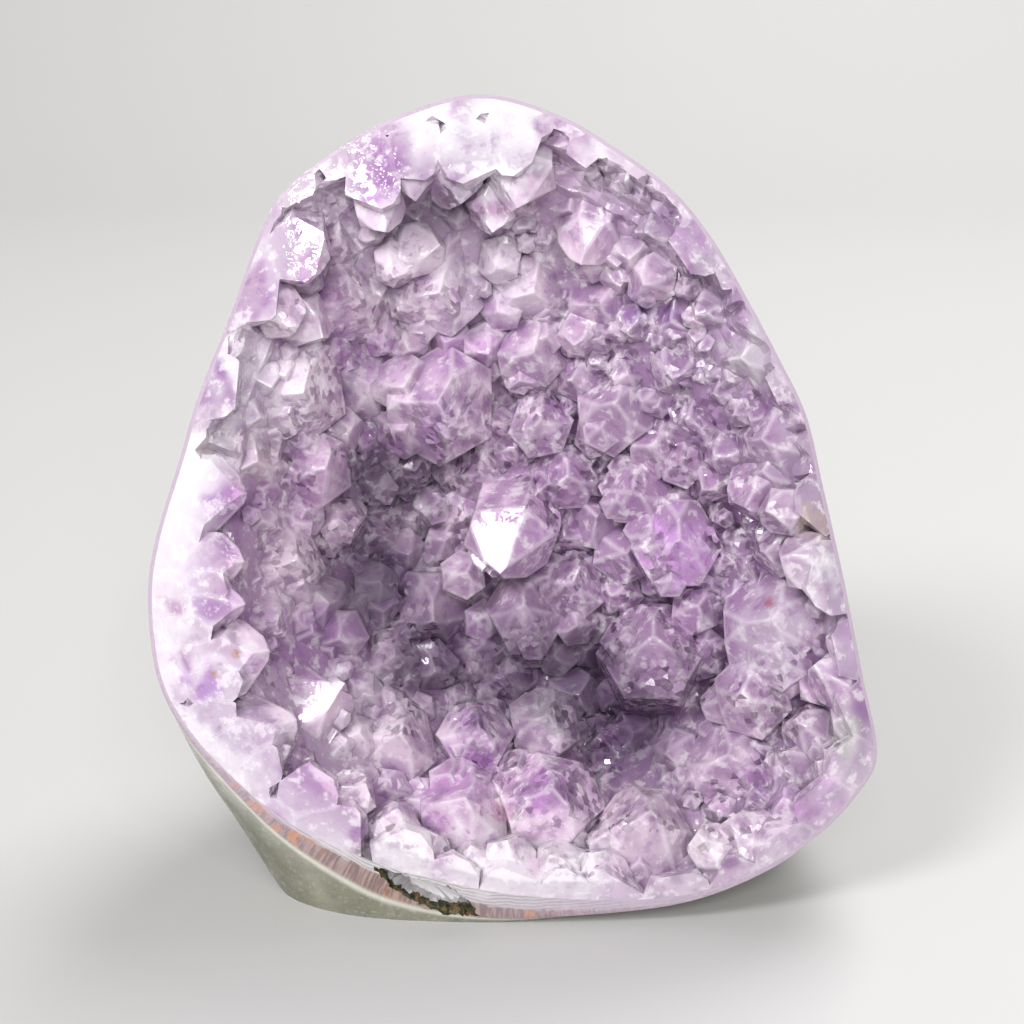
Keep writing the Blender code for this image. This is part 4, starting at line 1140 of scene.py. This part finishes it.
def describe_crust(data):
    """Give each corner of the crust what its finish goes by: the crystal it is on and where."""
    centres = read(data.polygons, "center", 3)
    facing = read(data.polygons, "normal", 3)
    sizes = read(data.polygons, "loop_total", 1).astype(int)
    corner_face = np.repeat(np.arange(len(sizes)), sizes)
    corner_vertex = read(data.loops, "vertex_index", 1).astype(int)
    points = read(data.vertices, "co", 3)
    local = points @ TO_FRONT[:3, :3].T + TO_FRONT[:3, 3]
    centre_local = centres @ TO_FRONT[:3, :3].T + TO_FRONT[:3, 3]
    angle, reach = polar(centre_local[:, 0], centre_local[:, 1])
    height = centre_local[:, 2]
    polished = (np.abs(height - dome(reach)) < ON_FRONT) & (height > -FRONT_ENDS_BELOW)

    owner = np.zeros(len(sizes), int)
    close = np.zeros(len(sizes), np.float32)
    for start in range(0, len(sizes), AT_ONCE):
        part = slice(start, start + AT_ONCE)
        away = outside_of_crystals(centres[part])
        owner[part] = np.where(polished[part, None], away, np.abs(away)).argmin(axis=1)
        close[part] = away[np.arange(len(away)), owner[part]]
    on_base = np.where(polished, close > 0, np.abs(close) > ON_CRYSTAL)

    # Distance of each corner from its facet's ridges
    ridges = np.full((len(corner_face), NEAR_RIDGES), FAR, np.float32)
    plain = ~(polished | on_base)
    across = np.einsum("fkc,fc->fk", normals[owner], facing)
    slant = np.sqrt(np.clip(1 - across ** 2, LEAST_SLANT, 1))
    inside = offsets[owner] - np.einsum("fkc,fc->fk", normals[owner], centres)
    inside = np.where(across > SAME_PLANE, FAR, inside / slant)
    nearest = np.argsort(inside, axis=1)[:, :NEAR_RIDGES]
    chosen = plain[corner_face]
    face = corner_face[chosen]
    picked = nearest[face]
    planes = normals[owner[face][:, None], picked]
    reached = np.einsum("fkc,fc->fk", planes, points[corner_vertex[chosen]])
    gap = (offsets[owner[face][:, None], picked] - reached) / slant[face[:, None], picked] / MM
    same = across[face[:, None], picked] > SAME_PLANE
    ridges[chosen] = np.where(same, FAR, gap)

    # Seams between the cut crystals of the rim, and the crystal that each point of it is in
    rim_vertices = np.unique(corner_vertex[polished[corner_face]])
    seam = np.full(len(points), FAR, np.float32)
    vertex_owner = np.zeros(len(points), int)
    for start in range(0, len(rim_vertices), AT_ONCE):
        part = rim_vertices[start:start + AT_ONCE]
        away = outside_of_crystals(points[part])
        away = np.concatenate([away, (local[part, 2] - root_height(local[part, 0], local[part, 1]))[:, None]],
                              axis=1)
        vertex_owner[part] = away.argmin(axis=1)
        two = np.partition(away, 1, axis=1)[:, :2]
        seam[part] = (two[:, 1] - two[:, 0]) / MM
    on_rim = polished[corner_face]
    ridges[on_rim, 0] = seam[corner_vertex[on_rim]]

    corner_owner = np.where(on_base, len(places), owner)[corner_face]
    corner_owner[on_rim] = vertex_owner[corner_vertex[on_rim]]

    depth = -local[:, 2] / MM
    seen = local[:, :2] / MM / (1 + np.maximum(depth, 0) * MM / EYE_DISTANCE)[:, None]
    angle, reach = polar(local[:, 0], local[:, 1])
    from_rim = (1 - reach) * rim_radius(angle) / MM
    # Painted shade where the hollow lies deep
    gloom = np.zeros(len(points))
    for right, up, spread, strength in HOLLOW_SHADE_PLACES:
        away = np.hypot(seen[:, 0] - right, seen[:, 1] - up) / spread
        gloom = np.maximum(gloom, strength * np.exp(-away ** HOLLOW_SHADE_EDGE))
    # White at the rim, partly frost and partly painted light
    rim_white_and_light = np.zeros(len(points))
    for centre, spread, strength in RIM_WHITE_AND_LIGHT:
        rim_white_and_light = np.maximum(rim_white_and_light, strength * around(angle, math.radians(centre), math.radians(spread)))

    below = depth - tip_depth(local[:, 0], local[:, 1]) / MM
    stains_and_shade = stain_and_shade_colours(seen)
    body = blend(np.array(LILAC), np.array(PURPLE), drifts(points, PATCHES, corner_vertex))
    tones = np.random.default_rng(KIND_SEED).random((len(places) + 1, 3))[corner_owner]
    body = blend(body, np.array(GREY_LILAC), GREY_STRENGTH * tones[:, 0])
    body = blend(body, np.array(PINK_LILAC), PINK_STRENGTH * tones[:, 1])
    body = blend(body, np.array(NEAR_WHITE), WHITE_STRENGTH * smoothstep(WHITE_FROM, 1, tones[:, 2]))
    # Stains, and painted shade on the side away from the light
    body = blend(body, stains_and_shade[corner_vertex, :3], stains_and_shade[corner_vertex, 3])
    # Painted shade in the crevices, darker the further below the crystals' tips
    root = CREVICE_SHADE_STRENGTH * smoothstep(*CREVICE_SHADE_BELOW_TIPS, below)
    body = blend(body, np.array(CREVICE_SHADE_COLOUR), root[corner_vertex])
    rime = rim_white_and_light * smoothstep(*RIM_WHITE_AND_LIGHT_REACH, from_rim) * drifts(points, RIME_PATCHES)

    write(data, "ridges_a", "FLOAT_VECTOR", "CORNER", ridges[:, :3])
    write(data, "ridges_b", "FLOAT_VECTOR", "CORNER", ridges[:, 3:])
    write(data, "body", "FLOAT_COLOR", "CORNER", np.concatenate([body, np.ones((len(body), 1))], axis=1))
    write(data, "gloom", "FLOAT", "POINT", gloom)
    write(data, "rime", "FLOAT", "POINT", rime)
    flaky = drifts(points, FLAKY_PATCHES)
    flaky[np.abs(local[:, 2] - dome(reach)) < ON_FRONT] *= FLAKY_ON_FRONT
    for right, up, spread in BRIGHT_CRYSTALS:
        away = np.hypot(seen[:, 0] - right, seen[:, 1] - up) / spread
        flaky *= smoothstep(*BRIGHT_EDGE, away)
    write(data, "flaky", "FLOAT", "POINT", flaky)


describe_crust(crust.data)

# The crystals are see-through as far as their flaws let light pass
QUARTZ_IOR = 1.544
SEE_THROUGH = 0.2
ABSORPTION_COLOUR = (0.62, 0.32, 0.70)
ABSORPTION_DENSITY = 50
# Grain of the quartz: patches to the metre, how fine and how rough, and its pale veils and dark
# flecks by the levels between which they set in
GRAIN = (520, 3, 0.66)
VEILS = (0.52, 0.66)
FLECKS = (0.45, 0.34)
VEIL_COLOUR = (0.94, 0.88, 0.92)
FLECK_COLOUR = (0.30, 0.15, 0.35)
# Paler ridges, a painted highlight along the crystals' edges and the pale seams between the cut crystals of
# the rim: how far they reach in millimetres, their strength and colour
RIDGE_HIGHLIGHT_AND_SEAM_WIDTH = (0.05, 0.7)
RIDGE_HIGHLIGHT_AND_SEAM_STRENGTH = 0.3
RIDGE_HIGHLIGHT_AND_SEAM_COLOUR = (0.93, 0.86, 0.92)
# Colour of the painted shade deep in the hollow
HOLLOW_SHADE_COLOUR = (0.075, 0.042, 0.095)
# Colour of the white rime, partly painted light on the rim
RIME_AND_HIGHLIGHT_COLOUR = (0.93, 0.88, 0.92)
ROUGHNESS = (0.04, 0.24)
# Rounding of the ridges, relief of the grain, and tilt of the flakes of flaky growth
RIDGE_ROUNDING = 0.22
RIDGE_RELIEF = 0.06 * MM
GRAIN_RELIEF = 0.12 * MM
FLAKES_PER_METRE = 1100
FLAKE_TILT = 1.0

nodes = amethyst.node_tree.nodes
stone.inputs["IOR"].default_value = QUARTZ_IOR
stone.inputs["Transmission Weight"].default_value = SEE_THROUGH
absorb = nodes.new("ShaderNodeVolumeAbsorption")
absorb.inputs["Color"].default_value = (*ABSORPTION_COLOUR, 1)
absorb.inputs["Density"].default_value = ABSORPTION_DENSITY
fill_in(nodes, nodes["Material Output"].inputs["Volume"], absorb.outputs["Volume"])


def parts_of(nodes, vector):
    node = nodes.new("ShaderNodeSeparateXYZ")
    fill_in(nodes, node.inputs["Vector"], vector)
    return [node.outputs[axis] for axis in "XYZ"]


def nearest_ridge(nodes):
    """Distance in millimetres to the nearest ridge of the facet, or seam of the polished rim."""
    distances = [part for name in ("ridges_a", "ridges_b")
                 for part in parts_of(nodes, attribute(nodes, name, "Vector"))]
    least = distances[0]
    for distance in distances[1:]:
        least = math_node(nodes, "MINIMUM", least, distance)
    return least


def tilted_flakes(nodes, per_metre, tilt, where):
    """The surface's normal, tilted at random from flake to flake where a mask is set."""
    place = nodes.new("ShaderNodeTexCoord")
    cells = nodes.new("ShaderNodeTexVoronoi")
    cells.inputs["Scale"].default_value = per_metre
    fill_in(nodes, cells.inputs["Vector"], place.outputs["Object"])
    shift = nodes.new("ShaderNodeVectorMath")
    shift.operation = "SUBTRACT"
    fill_in(nodes, shift.inputs[0], cells.outputs["Color"])
    shift.inputs[1].default_value = (0.5, 0.5, 0.5)
    scale = nodes.new("ShaderNodeVectorMath")
    scale.operation = "SCALE"
    fill_in(nodes, scale.inputs[0], shift.outputs["Vector"])
    fill_in(nodes, scale.inputs["Scale"], times(nodes, where, tilt))
    facing = nodes.new("ShaderNodeNewGeometry")
    total = nodes.new("ShaderNodeVectorMath")
    fill_in(nodes, total.inputs[0], facing.outputs["Normal"])
    fill_in(nodes, total.inputs[1], scale.outputs["Vector"])
    unit = nodes.new("ShaderNodeVectorMath")
    unit.operation = "NORMALIZE"
    fill_in(nodes, unit.inputs[0], total.outputs["Vector"])
    return unit.outputs["Vector"]


ridge = nearest_ridge(nodes)
place = nodes.new("ShaderNodeTexCoord").outputs["Object"]
grain = noise_along(nodes, place, *GRAIN)
veils = mask(nodes, grain, *VEILS)
body = mix(nodes, times(nodes, veils, 0.5), attribute(nodes, "body", "Color"), VEIL_COLOUR)
body = mix(nodes, mask(nodes, grain, *FLECKS, 0.0, 0.5), body, FLECK_COLOUR)
# Painted highlight along the crystals' ridges, and the pale seams of the rim
body = mix(nodes, mask(nodes, ridge, *RIDGE_HIGHLIGHT_AND_SEAM_WIDTH, RIDGE_HIGHLIGHT_AND_SEAM_STRENGTH, 0.0), body, RIDGE_HIGHLIGHT_AND_SEAM_COLOUR)
# Painted shade deep in the hollow
body = mix(nodes, times(nodes, attribute(nodes, "gloom"), 0.85), body, HOLLOW_SHADE_COLOUR)
# White rime at the rim, partly painted light
body = mix(nodes, times(nodes, attribute(nodes, "rime"), 0.75), body, RIME_AND_HIGHLIGHT_COLOUR)
fill_in(nodes, stone.inputs["Base Color"], body)
fill_in(nodes, stone.inputs["Roughness"], mask(nodes, veils, 0.0, 1.0, *ROUGHNESS))
ridge_height = times(nodes, mask(nodes, ridge, 0.0, RIDGE_ROUNDING), RIDGE_RELIEF)
height = math_node(nodes, "ADD", ridge_height, times(nodes, grain, GRAIN_RELIEF))
flakes = tilted_flakes(nodes, FLAKES_PER_METRE, FLAKE_TILT, attribute(nodes, "flaky"))
raise_by(nodes, stone, height, flakes)

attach(crust, "root")
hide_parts("amethyst_crust")

# Studio
# A pale floor that curves up behind, soft lights from the upper left, from in front and from
# behind, a small one for glints, and the camera as high and as near as the photograph's.

VIEW_ELEVATION = math.radians(18)
FLOOR_SIZE = 3.0
BACKDROP_START = 0.5
BACKDROP_CURVE = 0.4
BACKDROP_STEPS = 12
FLOOR_COLOUR = (0.45, 0.445, 0.44)
FLOOR_ROUGHNESS = 0.6
LENS = 70
WORLD_BRIGHTNESS = 0.3

profile = [(-FLOOR_SIZE, 0), (BACKDROP_START, 0)]
for step in range(1, BACKDROP_STEPS + 1):
    turn = math.pi / 2 * step / BACKDROP_STEPS
    rise = BACKDROP_CURVE * (1 - math.cos(turn))
    profile.append((BACKDROP_START + BACKDROP_CURVE * math.sin(turn), rise))
corners = [(x, y, z) for y, z in profile for x in (-FLOOR_SIZE, FLOOR_SIZE)]
quads = [(2 * row, 2 * row + 1, 2 * row + 3, 2 * row + 2) for row in range(len(profile) - 1)]
floor_mesh = bpy.data.meshes.new("floor")
floor_mesh.from_pydata(corners, [], quads)
floor_mesh.shade_smooth()
floor = bpy.data.objects.new("floor", floor_mesh)
bpy.context.collection.objects.link(floor)
floor_finish, floor_shader = principled("floor")
floor_shader.inputs["Base Color"].default_value = (*FLOOR_COLOUR, 1)
floor_shader.inputs["Roughness"].default_value = FLOOR_ROUGHNESS
floor_mesh.materials.append(floor_finish)

target = Vector((0, -FACE_FORWARD, FACE_HEIGHT))
camera_data = bpy.data.cameras.new("camera")
camera_data.lens = LENS
camera = bpy.data.objects.new("camera", camera_data)
toward_eye = Vector((0, -math.cos(VIEW_ELEVATION), math.sin(VIEW_ELEVATION)))
camera.location = target + EYE_DISTANCE * toward_eye
camera.rotation_euler = (math.pi / 2 - VIEW_ELEVATION, 0, 0)
bpy.context.collection.objects.link(camera)
bpy.context.scene.camera = camera


def soft_light(name, place, size, power):
    """A square light that faces the stone, its width in metres and its power in watts."""
    data = bpy.data.lights.new(name, "AREA")
    data.energy = power
    data.size = size
    light = bpy.data.objects.new(name, data)
    light.location = place
    light.rotation_euler = (target - Vector(place)).to_track_quat("-Z", "Y").to_euler()
    bpy.context.collection.objects.link(light)


soft_light("key", (-0.75, -0.75, 1.0), 0.4, 14)
soft_light("front", (0.05, -1.3, 0.7), 0.7, 16)
soft_light("back", (0.3, 0.45, 0.8), 0.5, 8)
soft_light("glint", (0.35, -0.9, 0.9), 0.08, 1.2)
world = bpy.data.worlds.new("studio")
world.use_nodes = True
world.node_tree.nodes["Background"].inputs["Color"].default_value = (1, 1, 1, 1)
world.node_tree.nodes["Background"].inputs["Strength"].default_value = WORLD_BRIGHTNESS
bpy.context.scene.world = world
bpy.context.scene.view_settings.view_transform = "Standard"
